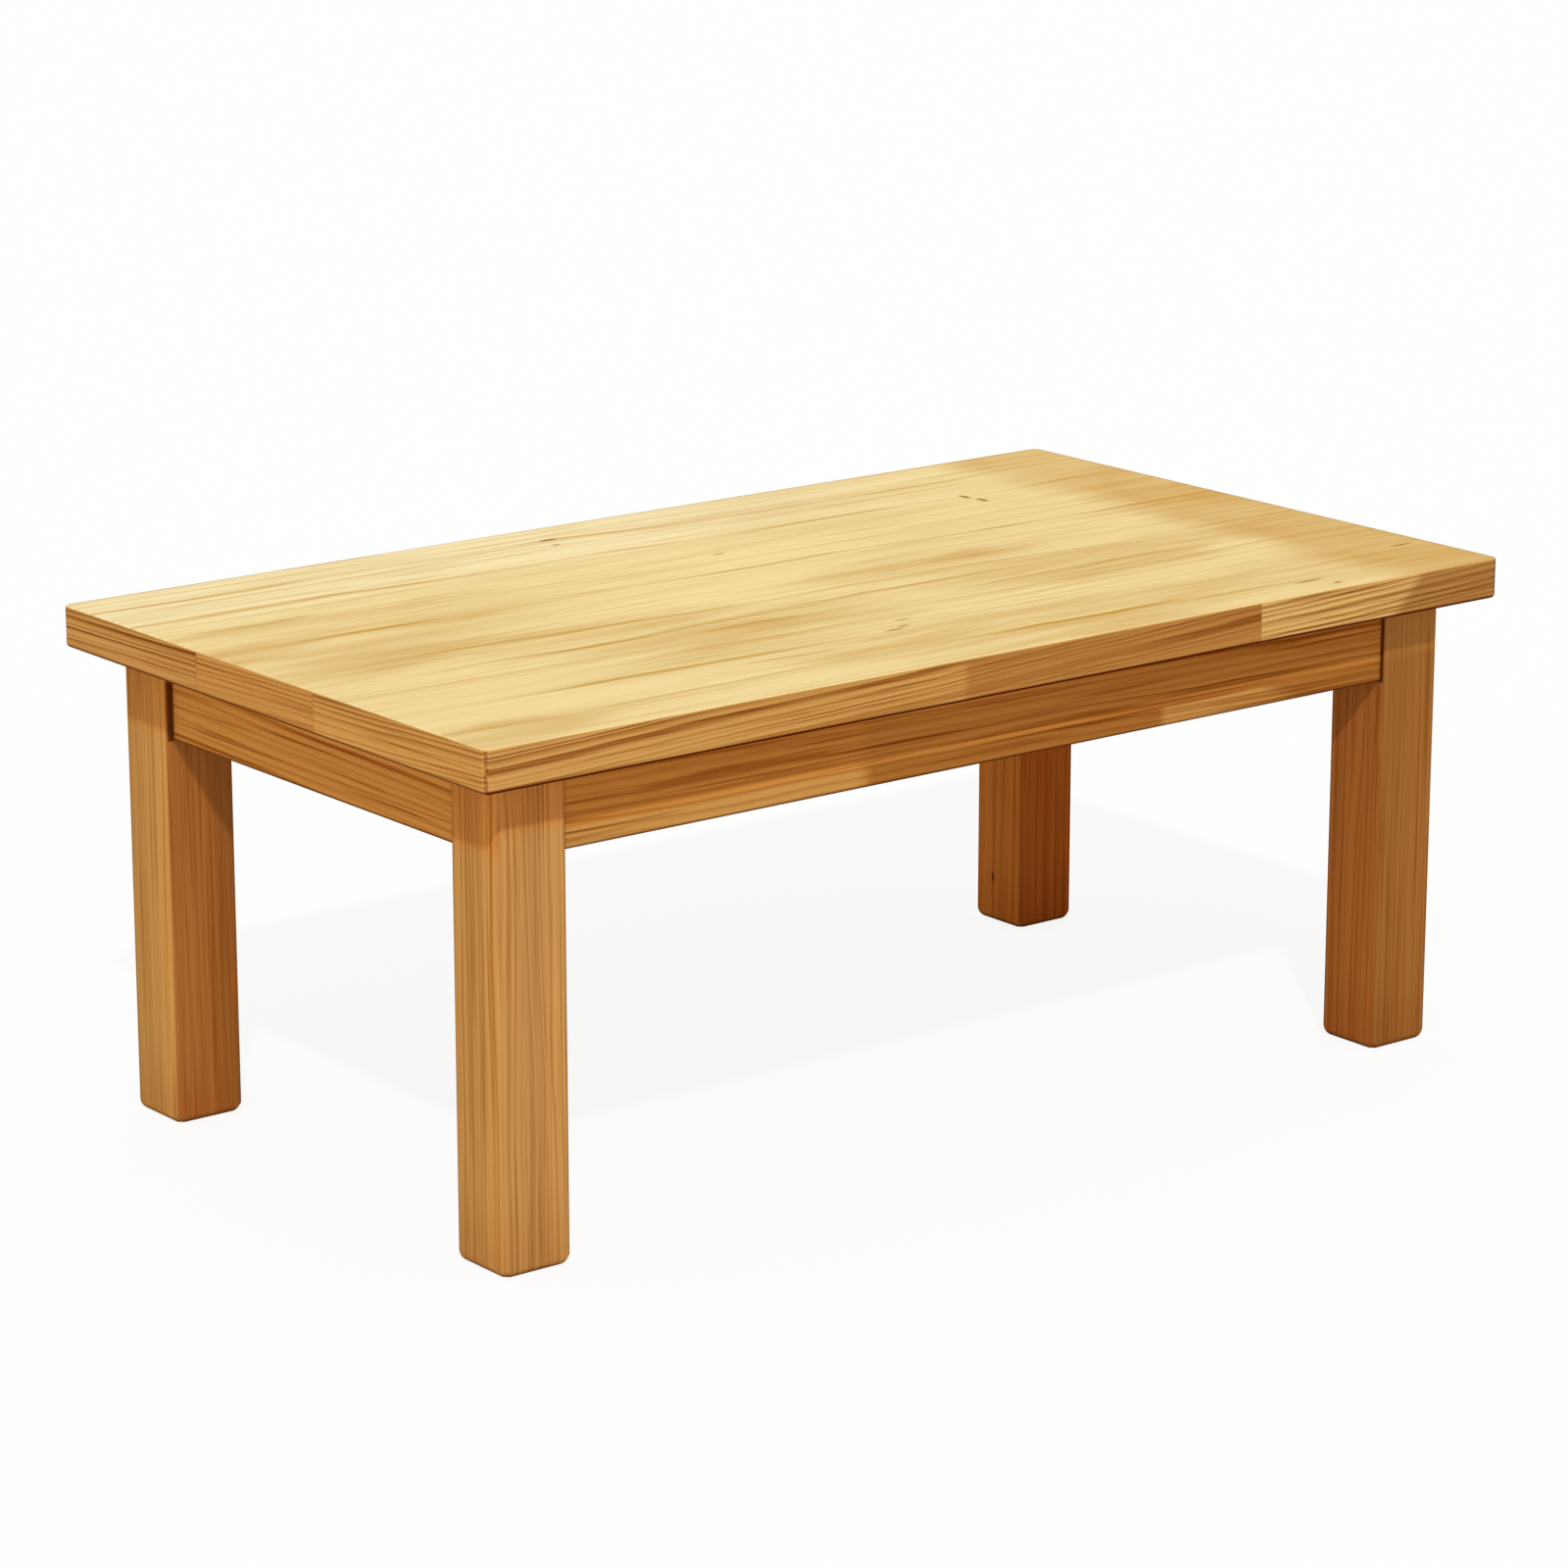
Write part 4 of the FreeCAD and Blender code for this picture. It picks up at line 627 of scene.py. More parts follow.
APRON_WOODS = {
    "apron_front": {"grain": "X", "seed": 18.0, "tilt": 0.010, "level": 0.84},
    "apron_back": {"grain": "X", "seed": 13.0, "tilt": 0.024, "level": 0.86},
    "apron_left": {"grain": "Y", "seed": 9.0, "tilt": -0.015, "level": 1.0},
    "apron_right": {"grain": "Y", "seed": 21.0, "tilt": -0.020, "level": 0.90},
}
# Where the front apron's painted shade begins and where its low strip ends upwards, and the pale sliver
# further right: its start, its leaning point and its upper edge, from and to. Right of where the shade
# begins the low strip is painted darker; left of it the low strip, and the sliver, are painted light.
APRON_SHADE_START = (-0.150, -0.126)
APRON_STRIP = (0.342, 0.350)
SLIVER_START = (0.172, 0.184)
SLIVER_POINT = (0.312, 0.350)
SLIVER_LEAN = 2.5
SLIVER_TOP = (0.343, 0.347)


class KOTATSU_OT_aprons(bpy.types.Operator):
    """Finish the four aprons"""

    bl_idname = "kotatsu.aprons"
    bl_label = "Aprons"

    def execute(self, context):
        pine = context.scene.kotatsu_pine
        for name, wood in APRON_WOODS.items():
            coat(apron_wood(name, pine, **wood), name)
        return {"FINISHED"}


def apron_wood(name, pine, grain, seed, tilt, level):
    """Deep brown pine with level rings that wander, run out and meet."""
    finish = Finish("pine_" + name)
    z = finish.place[2]
    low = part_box(name)[0].z
    along, through, ends, depth = lay_of(finish, name, grain)
    late, strength = rings(finish, along, z, through, seed, pith=(0.18, depth + 0.09),
                           pitch=pine.apron_ring, tilt=tilt, sway=0.018, crisp=2.8, unevenness=1.6)
    fibre = fibres(finish, along, z, through, seed)
    fine = streaks(finish, along, z, through, seed, 300)
    lines = (late * (0.26 + strength * 0.70) + fine * 0.60).capped()
    broad = finish.noise(along * 3 + seed, z * 30, through * 30)
    tone = (0.95 + broad * 0.13 + fibre * 0.10) * (1 - lines * 0.54)
    colour = finish.toned(pine.apron, tone * level)
    # Painted shade on the front apron's right part; painted light on its low strip and the sliver.
    if name == "apron_front":
        browner, lit_strip = front_apron_light_and_shade(along, z)
        colour = finish.tinted(colour, 1 - browner)
        colour = finish.mix(lit_strip, colour, finish.toned(pine.apron_lit, tone))
    # Painted shade at an apron's ends, in the corners where it meets the legs.
    end_shade = abs(along).step(ends[1] - 0.0022, ends[1] - 0.0004)
    under = 1 - z.step(low + 0.0008, low + 0.0028)
    shade = most(end_shade * 0.4, under * 0.85)
    colour = finish.mix(shade, colour, stained(pine.apron_line, (0.4, 0.3, 0.3)))
    return oiled(finish, colour, late, fibre)


def front_apron_light_and_shade(x, z):
    """How much painted shade darkens the wood right of the left third, and where painted light makes it
    paler low down and in a sliver.
    """
    browner = x.step(*APRON_SHADE_START)
    low_strip = 1 - z.step(*APRON_STRIP)
    point = (x + (z - APRON_UNDERSIDE) * SLIVER_LEAN).step(*SLIVER_POINT)
    sliver = x.step(*SLIVER_START) * (1 - point) * (1 - z.step(*SLIVER_TOP))
    return browner * (0.14 + low_strip * 0.22), low_strip * (1 - browner) + sliver * 0.9


# Hidden woods and the core

# The planer's waves in radians per metre, then the width of a ply and of a paper cell.
PLANER_MARKS = 1400
PLY = 0.0013
PAPER_CELL = 0.018


class KOTATSU_OT_inner_frame(bpy.types.Operator):
    """Finish the heater's rails, the dowels and the rubber pads on the legs"""

    bl_idname = "kotatsu.inner_frame"
    bl_label = "Rails, Dowels and Pads"

    def execute(self, context):
        coat(softwood("rails_across", "Y"), "heater_rail_left", "heater_rail_right")
        coat(softwood("rails_along", "X"), "heater_rail_front", "heater_rail_back")
        coat(stuff("beech"), "apron_dowels", "rail_dowels")
        coat(stuff("grip_rubber"), "grip_pads")
        return {"FINISHED"}


def softwood(name, grain):
    """Planed, unlacquered pine of the hidden parts."""
    finish = Finish("softwood_" + name)
    x, y, z = finish.place
    along, across = (x, y) if grain == "X" else (y, x)
    late, strength = rings(finish, along, across, z, 17.0, pith=(0.90, 0.15), pitch=0.006,
                           tilt=0.012, sway=0.012)
    fibre = fibres(finish, along, across, z, 3.0)
    lines = late * (0.3 + strength * 0.7)
    colour = finish.mix(lines * 0.8, paint(226, 198, 150), paint(184, 138, 82))
    colour = finish.tinted(colour, 0.94 + fibre * 0.10)
    planing = finish.maths("SINE", along * PLANER_MARKS) * 0.08
    relief = finish.bump(late * 0.5 + fibre * 0.5 + planing, 0.0003)
    return finish.dress(colour=colour, roughness=0.62 + fibre * 0.2, gloss=0.3, normal=relief)


def plywood():
    """Thin rotary-cut board, seen from under the table."""
    finish = Finish("plywood")
    x, y, z = finish.place
    figure = finish.noise(x * 3, y * 14, 2.0, 4.0)
    bands = finish.maths("SINE", figure * 46) * 0.5 + 0.5
    fibre = fibres(finish, x, y, z, 8.0)
    pores = finish.noise(x * 60, y * 1400, 5.0, 2.0).step(0.62, 0.72)
    colour = finish.mix(bands * 0.55, paint(222, 194, 148), paint(198, 160, 108))
    colour = finish.mix(pores * 0.45, colour, paint(150, 108, 62))
    ply = finish.maths("FRACT", z / PLY).step(0.55, 0.75)
    colour = finish.tinted(colour, 0.94 + fibre * 0.10 - ply * 0.04)
    relief = finish.bump(fibre - pores * 0.6, 0.0002)
    return finish.dress(colour=colour, roughness=0.58 + fibre * 0.2, gloss=0.3, normal=relief)


def honeycomb_paper():
    """Brown paper cells, drawn where three sets of waves meet."""
    finish = Finish("honeycomb_paper")
    x, y = finish.place[:2]
    turn = 2 * math.pi / PAPER_CELL
    waves = [finish.maths("COSINE", x * turn)]
    for side in (-1, 1):
        slant = x * 0.5 + y * (side * math.sqrt(0.75))
        waves.append(finish.maths("COSINE", slant * turn))
    cell = waves[0] + waves[1] + waves[2]
    wall = 1 - cell.step(-1.3, -0.8)
    pulp = finish.grain(500, 500, 500, 3.0)
    colour = finish.mix(wall, paint(126, 98, 66), paint(196, 164, 120))
    colour = finish.tinted(colour, 0.88 + pulp * 0.24)
    relief = finish.bump(wall + pulp * 0.2, 0.001)
    return finish.dress(colour=colour, roughness=0.85, gloss=0.2, normal=relief)


# Metals, plastics and other plain stuffs

# For each: the two colours that its broad noise mixes and how far, the marks that its fine noise
# leaves on them, roughness with what the broad and the fine noise add to it, and the same two
# noises' shares in its relief with the relief's depth. A stuff without a broad noise uses its fine
# one for both.
STUFFS = {
    # Zinc plate: soft pale patches and a hint of blue and yellow
    "zinc_steel": {
        "broad": (160, 160, 160, 3.0), "fine": (900, 60, 900, 3.0, (0.55, 0.75)),
        "ends": ((186, 190, 196), (214, 212, 200)), "marks": ((150, 152, 154), 0.3),
        "rough": (0.26, 0.22, 0.08), "relief": (0, 1, 0.00004), "metallic": 1.0},
    # Grey powder coat with its orange-peel skin
    "housing_paint": {
        "broad": (14, 14, 14), "fine": (700, 700, 700),
        "ends": ((92, 94, 98), (108, 110, 114)),
        "rough": (0.40, 0, 0.16), "relief": (0, 1, 0.0003), "gloss": 0.5},
    # Clear quartz, a little milky where it was drawn
    "quartz": {
        "fine": (300, 18, 300, 3.0, (0.45, 0.8)), "ends": ((250, 246, 240), (236, 222, 212)),
        "rough": (0.05, 0, 0.22), "transmission": 1.0, "ior": 1.46},
    # Resistance wire with a dark oxide and lighter rubbed turns
    "coil_wire": {
        "fine": (500, 900, 500, 3.0), "ends": ((92, 84, 80), (150, 140, 132)),
        "rough": (0.42, 0, 0.25), "relief": (0, 1, 0.00005), "metallic": 0.8},
    # Unglazed white ceramic with fine pits
    "ceramic": {
        "broad": (80, 80, 80), "fine": (1400, 1400, 1400, 3.0, (0.60, 0.72)),
        "ends": ((238, 234, 224), (226, 219, 205)), "marks": ((190, 180, 162), 0.3),
        "rough": (0.62, 0.2, 0), "relief": (0, -1, 0.0001), "gloss": 0.4},
    # Satin black enamel, worn a little browner on its high spots
    "guard_black": {
        "broad": (60, 60, 60, 3.0, (0.58, 0.8)), "fine": (600, 600, 600),
        "ends": ((34, 34, 35), (74, 66, 58)), "share": 0.6,
        "rough": (0.34, 0, 0.18), "relief": (0, 1, 0.0001), "gloss": 0.5},
    # Pressed steel with drawing lines round the axis
    "motor_steel": {
        "broad": (120, 120, 120), "fine": (40, 40, 2600),
        "ends": ((166, 168, 170), (188, 188, 186)),
        "rough": (0.30, 0, 0.2), "relief": (0, 1, 0.00004), "metallic": 1.0},
    # Dark mouldings with a fine spark-eroded grain
    "black_plastic": {
        "broad": (45, 45, 45), "fine": (1100, 1100, 1100),
        "ends": ((36, 36, 38), (48, 48, 50)),
        "rough": (0.46, 0, 0.22), "relief": (0, 1, 0.0001), "gloss": 0.45},
    "fan_plastic": {
        "broad": (45, 45, 45), "fine": (900, 900, 900),
        "ends": ((56, 56, 59), (72, 72, 76)),
        "rough": (0.46, 0, 0.22), "relief": (0, 1, 0.0001), "gloss": 0.45},
    # Turned contacts with fine rings along the pin
    "brass": {
        "fine": (5000, 30, 30), "ends": ((226, 186, 104), (206, 160, 80)),
        "rough": (0.18, 0, 0.18), "relief": (0, 1, 0.00003), "metallic": 1.0},
    # Turned dowels with pressed flutes
    "beech": {
        "broad": (30, 30, 30), "fine": (900, 900, 300, 2.0, (0.60, 0.70)),
        "ends": ((206, 162, 116), (222, 184, 140)), "marks": ((150, 100, 62), 0.5),
        "rough": (0.55, 0.15, 0), "relief": (1, 1, 0.0002), "gloss": 0.3},
    # Matt grip pads with a fine moulded grain and some dust
    "grip_rubber": {
        "broad": (90, 90, 90, 3.0, (0.5, 0.8)), "fine": (1500, 1500, 1500, 3.0),
        "ends": ((42, 42, 44), (96, 94, 90)), "share": 0.3,
        "rough": (0.75, 0, 0.2), "relief": (0, 1, 0.0002), "gloss": 0.3},
}


def stuff(name):
    """The finish of a plain stuff, made as its entry says."""
    return plain_stuff(name, **STUFFS[name])


def plain_stuff(name, fine, ends, rough, broad=None, share=1.0, marks=None, relief=None,
                **sockets):
    """Two colours mixed by noise, marks, roughness and relief."""
    finish = Finish(name)
    fine = finish.grain(*fine)
    broad = finish.grain(*broad) if broad else fine
    colour = finish.mix(broad * share, paint(*ends[0]), paint(*ends[1]))
    if marks:
        colour = finish.mix(fine * marks[1], colour, paint(*marks[0]))
    if relief:
        sockets["normal"] = finish.bump(broad * relief[0] + fine * relief[1], relief[2])
    roughness = broad * rough[1] + fine * rough[2] + rough[0]
    return finish.dress(colour=colour, roughness=roughness, **sockets)


# The coils' place, and the width of a strand in the wires' braid.
COIL_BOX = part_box("heating_coils")
COIL_RADIUS = (COIL_BOX[1].z - COIL_BOX[0].z) / 2
COIL_OFFSET = COIL_BOX[1].x - COIL_RADIUS
BRAID_STRAND = 0.0012


def bright_aluminium():
    """Polished sheet with rolling lines and faint heat tint round the tubes."""
    finish = Finish("bright_aluminium")
    rolled = finish.grain(1600, 20, 1600, 3.0)
    from_tube = abs(abs(finish.place[0]) - COIL_OFFSET)
    heat = 1 - from_tube.step(0.004, 0.030)
    colour = finish.mix(rolled * 0.5, paint(232, 233, 235), paint(206, 208, 211))
    colour = finish.mix(heat * 0.25, colour, paint(214, 190, 150))
    return finish.dress(colour=colour, metallic=1.0, roughness=0.14 + rolled * 0.14,
                        normal=finish.bump(rolled, 0.00003))


def wire_cover():
    """Braided glass sleeve of the heater's wires."""
    finish = Finish("wire_cover")
    x, y, z = finish.place
    strand = 2 * math.pi / BRAID_STRAND
    braid = finish.maths("SINE", (x + y + z) * strand) * finish.maths("SINE", (x - y + z) * strand)
    dust = finish.grain(200, 200, 200)
    colour = finish.mix(braid * 0.5 + 0.5, paint(168, 162, 150), paint(222, 216, 204))
    colour = finish.tinted(colour, 0.85 + dust * 0.25)
    return finish.dress(colour=colour, roughness=0.7, gloss=0.3, normal=finish.bump(braid, 0.0002))


# Small repeated parts

class Shape:
    """Axis, middle, runs and radii of one solid of revolution in a CAD node, its head first."""

    def __init__(self, points):
        spread = points - points.mean(axis=0)
        self.axis = numpy.linalg.eigh(spread.T @ spread)[1][:, -1]
        self.middle = (points.max(axis=0) + points.min(axis=0)) / 2
        spread = points - self.middle
        self.runs = spread @ self.axis
        self.radii = numpy.linalg.norm(spread - numpy.outer(self.runs, self.axis), axis=1)
        if self.widest().mean() > 0:
            self.axis = -self.axis
            self.runs = -self.runs

    def widest(self):
        """Runs of the points that lie about as far out as any."""
        return self.runs[self.radii > 0.97 * self.radii.max()]


def solids_of(name):
    """Points of each separate solid in a CAD node, in the order of its mesh."""
    copy = bmesh.new()
    copy.from_mesh(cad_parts[name].data)
    bmesh.ops.remove_doubles(copy, verts=copy.verts, dist=1e-6)
    seen = set()
    solids = []
    for start in copy.verts:
        group = set()
        ring = {start} - seen
        while ring:
            group |= ring
            ring = {edge.other_vert(vert) for vert in ring for edge in vert.link_edges} - group
        if group:
            seen |= group
            solids.append(numpy.array([vert.co[:] for vert in copy.verts if vert in group]))
    copy.free()
    return solids


def seats_mesh(name, seats):
    """Loose points, each carrying the direction in which its part is driven."""
    mesh = bpy.data.meshes.new(name)
    mesh.from_pydata([seat for seat, axis in seats], [], [])
    drive = mesh.attributes.new("drive", "FLOAT_VECTOR", "POINT")
    for item, (seat, axis) in zip(drive.data, seats):
        item.vector = axis
    return mesh


class Recipe(Sheet):
    """A Geometry Nodes tree with named inputs, which ends in real geometry with one finish."""

    def __init__(self, name, sizes):
        super().__init__(bpy.data.node_groups.new(name, "GeometryNodeTree"))
        self.sizes = {}
        face = self.tree.interface
        face.new_socket("Geometry", in_out="INPUT", socket_type="NodeSocketGeometry")
        for label, value in sizes.items():
            kind = "NodeSocketInt" if isinstance(value, int) else "NodeSocketFloat"
            socket = face.new_socket(label, in_out="INPUT", socket_type=kind)
            self.sizes[socket.identifier] = value
        face.new_socket("Geometry", in_out="OUTPUT", socket_type="NodeSocketGeometry")
        entry = self.tree.nodes.new("NodeGroupInput")
        self.seats = Wire(self, entry.outputs["Geometry"])
        self.given = [Wire(self, entry.outputs[label]) for label in sizes]

    def joined(self, *shapes):
        join = self.tree.nodes.new("GeometryNodeJoinGeometry")
        for shape in shapes:
            self.tree.links.new(shape.socket, join.inputs[0])
        return Wire(self, join.outputs[0])

    def raised(self, part, height):
        """A part moved up from its seat."""
        inputs = {"Geometry": part, "Translation": self.vector(0.0, 0.0, height)}
        return self.node("GeometryNodeTransform", None, inputs)

    def rod(self, radius, length, sides):
        """A cylinder that stands on the seat."""
        inputs = {"Vertices": sides, "Radius": radius, "Depth": length}
        return self.raised(self.node("GeometryNodeMeshCylinder", None, inputs), length / 2)

    def wound(self, radius, wire, run, turns, steps, sides):
        """A round wire wound into a helix up +Z, a little off the seat."""
        inputs = {"Resolution": steps, "Rotations": turns,
                  "Start Radius": radius, "End Radius": radius, "Height": run}
        path = self.node("GeometryNodeCurveSpiral", None, inputs)
        inputs = {"Resolution": sides, "Radius": wire}
        profile = self.node("GeometryNodeCurvePrimitiveCircle", None, inputs)
        inputs = {"Curve": path, "Profile Curve": profile, "Fill Caps": True}
        return self.raised(self.node("GeometryNodeCurveToMesh", None, inputs), wire * 1.5)

    def build(self, name, seats, part, material):
        """Set a part on every seat with its +Z along the seat's axis, as one plain object."""
        settings = {"data_type": "FLOAT_VECTOR"}
        drive = self.node("GeometryNodeInputNamedAttribute", settings, {"Name": "drive"})
        turn = self.node("FunctionNodeAlignRotationToVector", {"axis": "Z"}, {"Vector": drive})
        inputs = {"Points": self.seats, "Instance": part, "Rotation": turn}
        copies = self.node("GeometryNodeInstanceOnPoints", None, inputs)
        real = self.node("GeometryNodeRealizeInstances", None, {"Geometry": copies})
        finished = self.node("GeometryNodeSetMaterial", None, {"Geometry": real, "Material": material})
        leave = self.tree.nodes.new("NodeGroupOutput")
        self.tree.links.new(finished.socket, leave.inputs[0])
        made = placed(name, seats_mesh(name, seats))
        modifier = made.modifiers.new(name, "NODES")
        modifier.node_group = self.tree
        for identifier, value in self.sizes.items():
            modifier[identifier] = value
        bpy.context.view_layer.update()
        graph = bpy.context.evaluated_depsgraph_get()
        plain = bpy.data.meshes.new_from_object(made.evaluated_get(graph))
        made.modifiers.remove(modifier)
        made.data = plain
        plain.name = name
        if not plain.polygons:
            raise RuntimeError(name + " came out empty")
        return made


class KOTATSU_PG_fittings(bpy.types.PropertyGroup):
    """Sizes of the small turned and wound parts."""

    recess: FloatProperty(
        name="Recess Depth", description="Depth of a screw's cross recess, as a share of its head",
        subtype="FACTOR", min=0.1, max=0.9, default=0.6)
    thread_pitch: FloatProperty(
        name="Thread Pitch", description="Advance of the hanger bolts' thread in one turn",
        unit="LENGTH", min=0.0005, default=0.00125)
    thread_depth: FloatProperty(
        name="Thread Depth", description="Height of the hanger bolts' thread above its root",
        unit="LENGTH", min=0.0001, default=0.0006)
    coil_wire: FloatProperty(
        name="Coil Wire", description="Radius of the resistance wire",
        unit="LENGTH", min=0.0001, default=0.00045)
    coil_turns: IntProperty(
        name="Coil Turns", description="Turns of wire in each heating coil",
        min=10, default=96)


# Outline of a pan head of unit radius and height, from its seat to the rim of its recess.
PAN_OUTLINE = ((1.0, 0.0), (1.0, 0.42), (0.94, 0.68), (0.80, 0.88), (0.62, 1.0), (0.56, 1.0))
PAN_SIDES = 32
# The cross recess as shares of the head's radius, and its floor as a share of its mouth.
CROSS_REACH = 0.56
CROSS_HALF_WIDTH = 0.11
CROSS_FLOOR_SHARE = 0.72
SHANK_SIDES = 16
BOLT_SIDES = 24


def pan_head(recess):
    """Head of unit radius and height with a cross recess, seated at 0 and crowned towards -Z."""
    turns = [2 * math.pi * number / PAN_SIDES for number in range(PAN_SIDES)]
    outlines = [[(radius * math.cos(turn), radius * math.sin(turn), -rise) for turn in turns]
                for radius, rise in PAN_OUTLINE]
    for depth, share in ((1.0, 1.0), (1.0 - recess, CROSS_FLOOR_SHARE)):
        outlines.append([(*cross_outline(turn, share), -depth) for turn in turns])
    head = bmesh.new()
    loops = [[head.verts.new(point) for point in outline] for outline in outlines]
    for outer, inner in zip(loops, loops[1:]):
        for number in range(PAN_SIDES):
            after = (number + 1) % PAN_SIDES
            head.faces.new((outer[number], outer[after], inner[after], inner[number]))
    head.faces.new(loops[-1])
    head.faces.new(loops[0][::-1])
    bmesh.ops.remove_doubles(head, verts=head.verts, dist=1e-5)
    bmesh.ops.recalc_face_normals(head, faces=head.faces)
    mesh = bpy.data.meshes.new("pan_head")
    head.to_mesh(mesh)
    head.free()
    return mesh


def cross_outline(turn, share):
    """Point in a given direction on the outline of the recess's cross, or of a smaller one."""
    reach, half_width = CROSS_REACH * share, CROSS_HALF_WIDTH * share
    along = max(abs(math.cos(turn)), abs(math.sin(turn)))
    aside = min(abs(math.cos(turn)), abs(math.sin(turn)))
    length = reach / along if aside * reach <= half_width * along else half_width / aside
    return length * math.cos(turn), length * math.sin(turn)


def crosshead_screws(node, material, recess):
    """Cross-recessed screws in place of a CAD node's plain ones, on the same seats."""
    seats = []
    for points in solids_of(node):
        shape = Shape(points)
        seat_run = shape.widest().max()
        seats.append((Vector(shape.middle + shape.axis * seat_run), Vector(shape.axis)))
        length = shape.runs.max() - seat_run
        shank = shape.radii[shape.runs > seat_run + length / 2]
    sizes = {"Head Radius": float(shape.radii.max()),
             "Head Height": float(seat_run - shape.runs.min()),
             "Shank Radius": float(shank.max()),
             "Shank Length": float(length)}
    recipe = Recipe(node + "_crosshead", sizes)
    head_radius, head_height, shank_radius, shank_length = recipe.given
    template = placed(node + "_head", pan_head(recess))
    head = recipe.node("GeometryNodeObjectInfo", None, {"Object": template}, "Geometry")
    inputs = {"Geometry": head, "Scale": recipe.vector(head_radius, head_radius, head_height)}
    head = recipe.node("GeometryNodeTransform", None, inputs)
    tip_length = shank_radius * 2
    straight = shank_length - tip_length
    shank = recipe.rod(shank_radius, straight, SHANK_SIDES)
    inputs = {"Vertices": SHANK_SIDES, "Radius Top": 0.0, "Radius Bottom": shank_radius,
              "Depth": tip_length}
    tip = recipe.raised(recipe.node("GeometryNodeMeshCone", None, inputs), straight)
    screw = recipe.joined(head, shank, tip)
    made = recipe.build(node + "_turned", seats, screw, material)
    bpy.data.objects.remove(template)
    for polygon in made.data.polygons:
        polygon.use_smooth = False
    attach(made, "frame")
    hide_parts(node)


class KOTATSU_OT_screws(bpy.types.Operator):
    """Turn the cross-recessed screws of the brackets, the heater, its guard, inlet and motor"""

    bl_idname = "kotatsu.screws"
    bl_label = "Screws"

    def execute(self, context):
        steel = stuff("zinc_steel")
        recess = context.scene.kotatsu_fittings.recess
        for place in ("bracket", "heater_mount", "guard", "inlet", "fan_motor"):
            crosshead_screws(place + "_screws", steel, recess)
        return {"FINISHED"}


class KOTATSU_OT_brackets(bpy.types.Operator):
    """Finish the corner brackets, washers and wing nuts, and cut the hanger bolts' threads"""

    bl_idname = "kotatsu.brackets"
    bl_label = "Brackets and Bolts"

    def execute(self, context):
        fittings = context.scene.kotatsu_fittings
        steel = stuff("zinc_steel")
        coat(steel, "corner_brackets", "bolt_washers", "wing_nuts")
        bolts = threaded_bolts("hanger_bolts", steel, fittings.thread_pitch, fittings.thread_depth)
        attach(bolts, "frame")
        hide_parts("hanger_bolts")
        return {"FINISHED"}


def threaded_bolts(node, material, pitch, depth):
    """A plain core with a ridge wound round it, for each bolt."""
    seats = []
    for points in solids_of(node):
        shape = Shape(points)
        seats.append((Vector(shape.middle + shape.axis * shape.runs.min()), Vector(shape.axis)))
    sizes = {"Radius": float(shape.radii.max()), "Length": float(numpy.ptp(shape.runs)),
             "Pitch": pitch, "Thread Depth": depth}
    recipe = Recipe(node + "_thread", sizes)
    radius, length, pitch, depth = recipe.given
    root = radius - depth
    core = recipe.rod(root, length, BOLT_SIDES)
    run = length - depth * 3
    ridge = recipe.wound(root, depth, run, run / pitch, steps=16, sides=4)
    return recipe.build(node + "_threaded", seats, recipe.joined(core, ridge), material)


class KOTATSU_OT_heater(bpy.types.Operator):
    """Finish the heater's housing, reflector, guard and tubes, and wind its coils"""

    bl_idname = "kotatsu.heater"
    bl_label = "Heater"

    def execute(self, context):
        fittings = context.scene.kotatsu_fittings
        coat(stuff("housing_paint"), "heater_housing")
        coat(bright_aluminium(), "heater_reflector")
        coat(stuff("guard_black"), "guard_skirt", "guard_wires")
        coat(stuff("quartz"), "quartz_tubes")
        coat(stuff("ceramic"), "tube_end_caps", "thermal_fuse")
        coat(stuff("zinc_steel"), "tube_holders")
        wire = stuff("coil_wire")
        coils = wound_coils("heating_coils", wire, fittings.coil_turns, fittings.coil_wire)
        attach(coils, "frame")
        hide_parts("heating_coils")
        return {"FINISHED"}


def wound_coils(node, material, turns, wire_radius):
    """A helix of resistance wire in each tube."""
    low, high = COIL_BOX
    seats = [(Vector((x, low.y, (low.z + high.z) / 2)), Vector((0.0, 1.0, 0.0)))
             for x in (-COIL_OFFSET, COIL_OFFSET)]
    sizes = {"Coil Radius": COIL_RADIUS, "Wire Radius": wire_radius,
             "Length": high.y - low.y, "Turns": turns}
    recipe = Recipe(node + "_winding", sizes)
    radius, wire, length, turns = recipe.given
    coil = recipe.wound(radius - wire, wire, length - wire * 3, turns, steps=14, sides=6)
    return recipe.build(node + "_wound", seats, coil, material)


class KOTATSU_OT_electrics(bpy.types.Operator):
    """Finish the thermostat, the power inlet, its pins and the inner wires"""

    bl_idname = "kotatsu.electrics"
    bl_label = "Inlet, Thermostat and Wires"

    def execute(self, context):
        coat(stuff("black_plastic"), "thermostat", "power_inlet")
        coat(stuff("brass"), "inlet_pins")
        coat(wire_cover(), "heater_wires")
        return {"FINISHED"}


class KOTATSU_OT_fan(bpy.types.Operator):
    """Finish the fan's motor, rotor, shaft and impeller"""

    bl_idname = "kotatsu.fan"
    bl_label = "Fan"

    def execute(self, context):
        coat(stuff("motor_steel"), "fan_motor_can", "fan_motor_cap", "fan_motor_stator", "fan_rotor")
        coat(stuff("zinc_steel"), "fan_shaft")
        coat(stuff("fan_plastic"), "fan_impeller")
        return {"FINISHED"}


# Stage

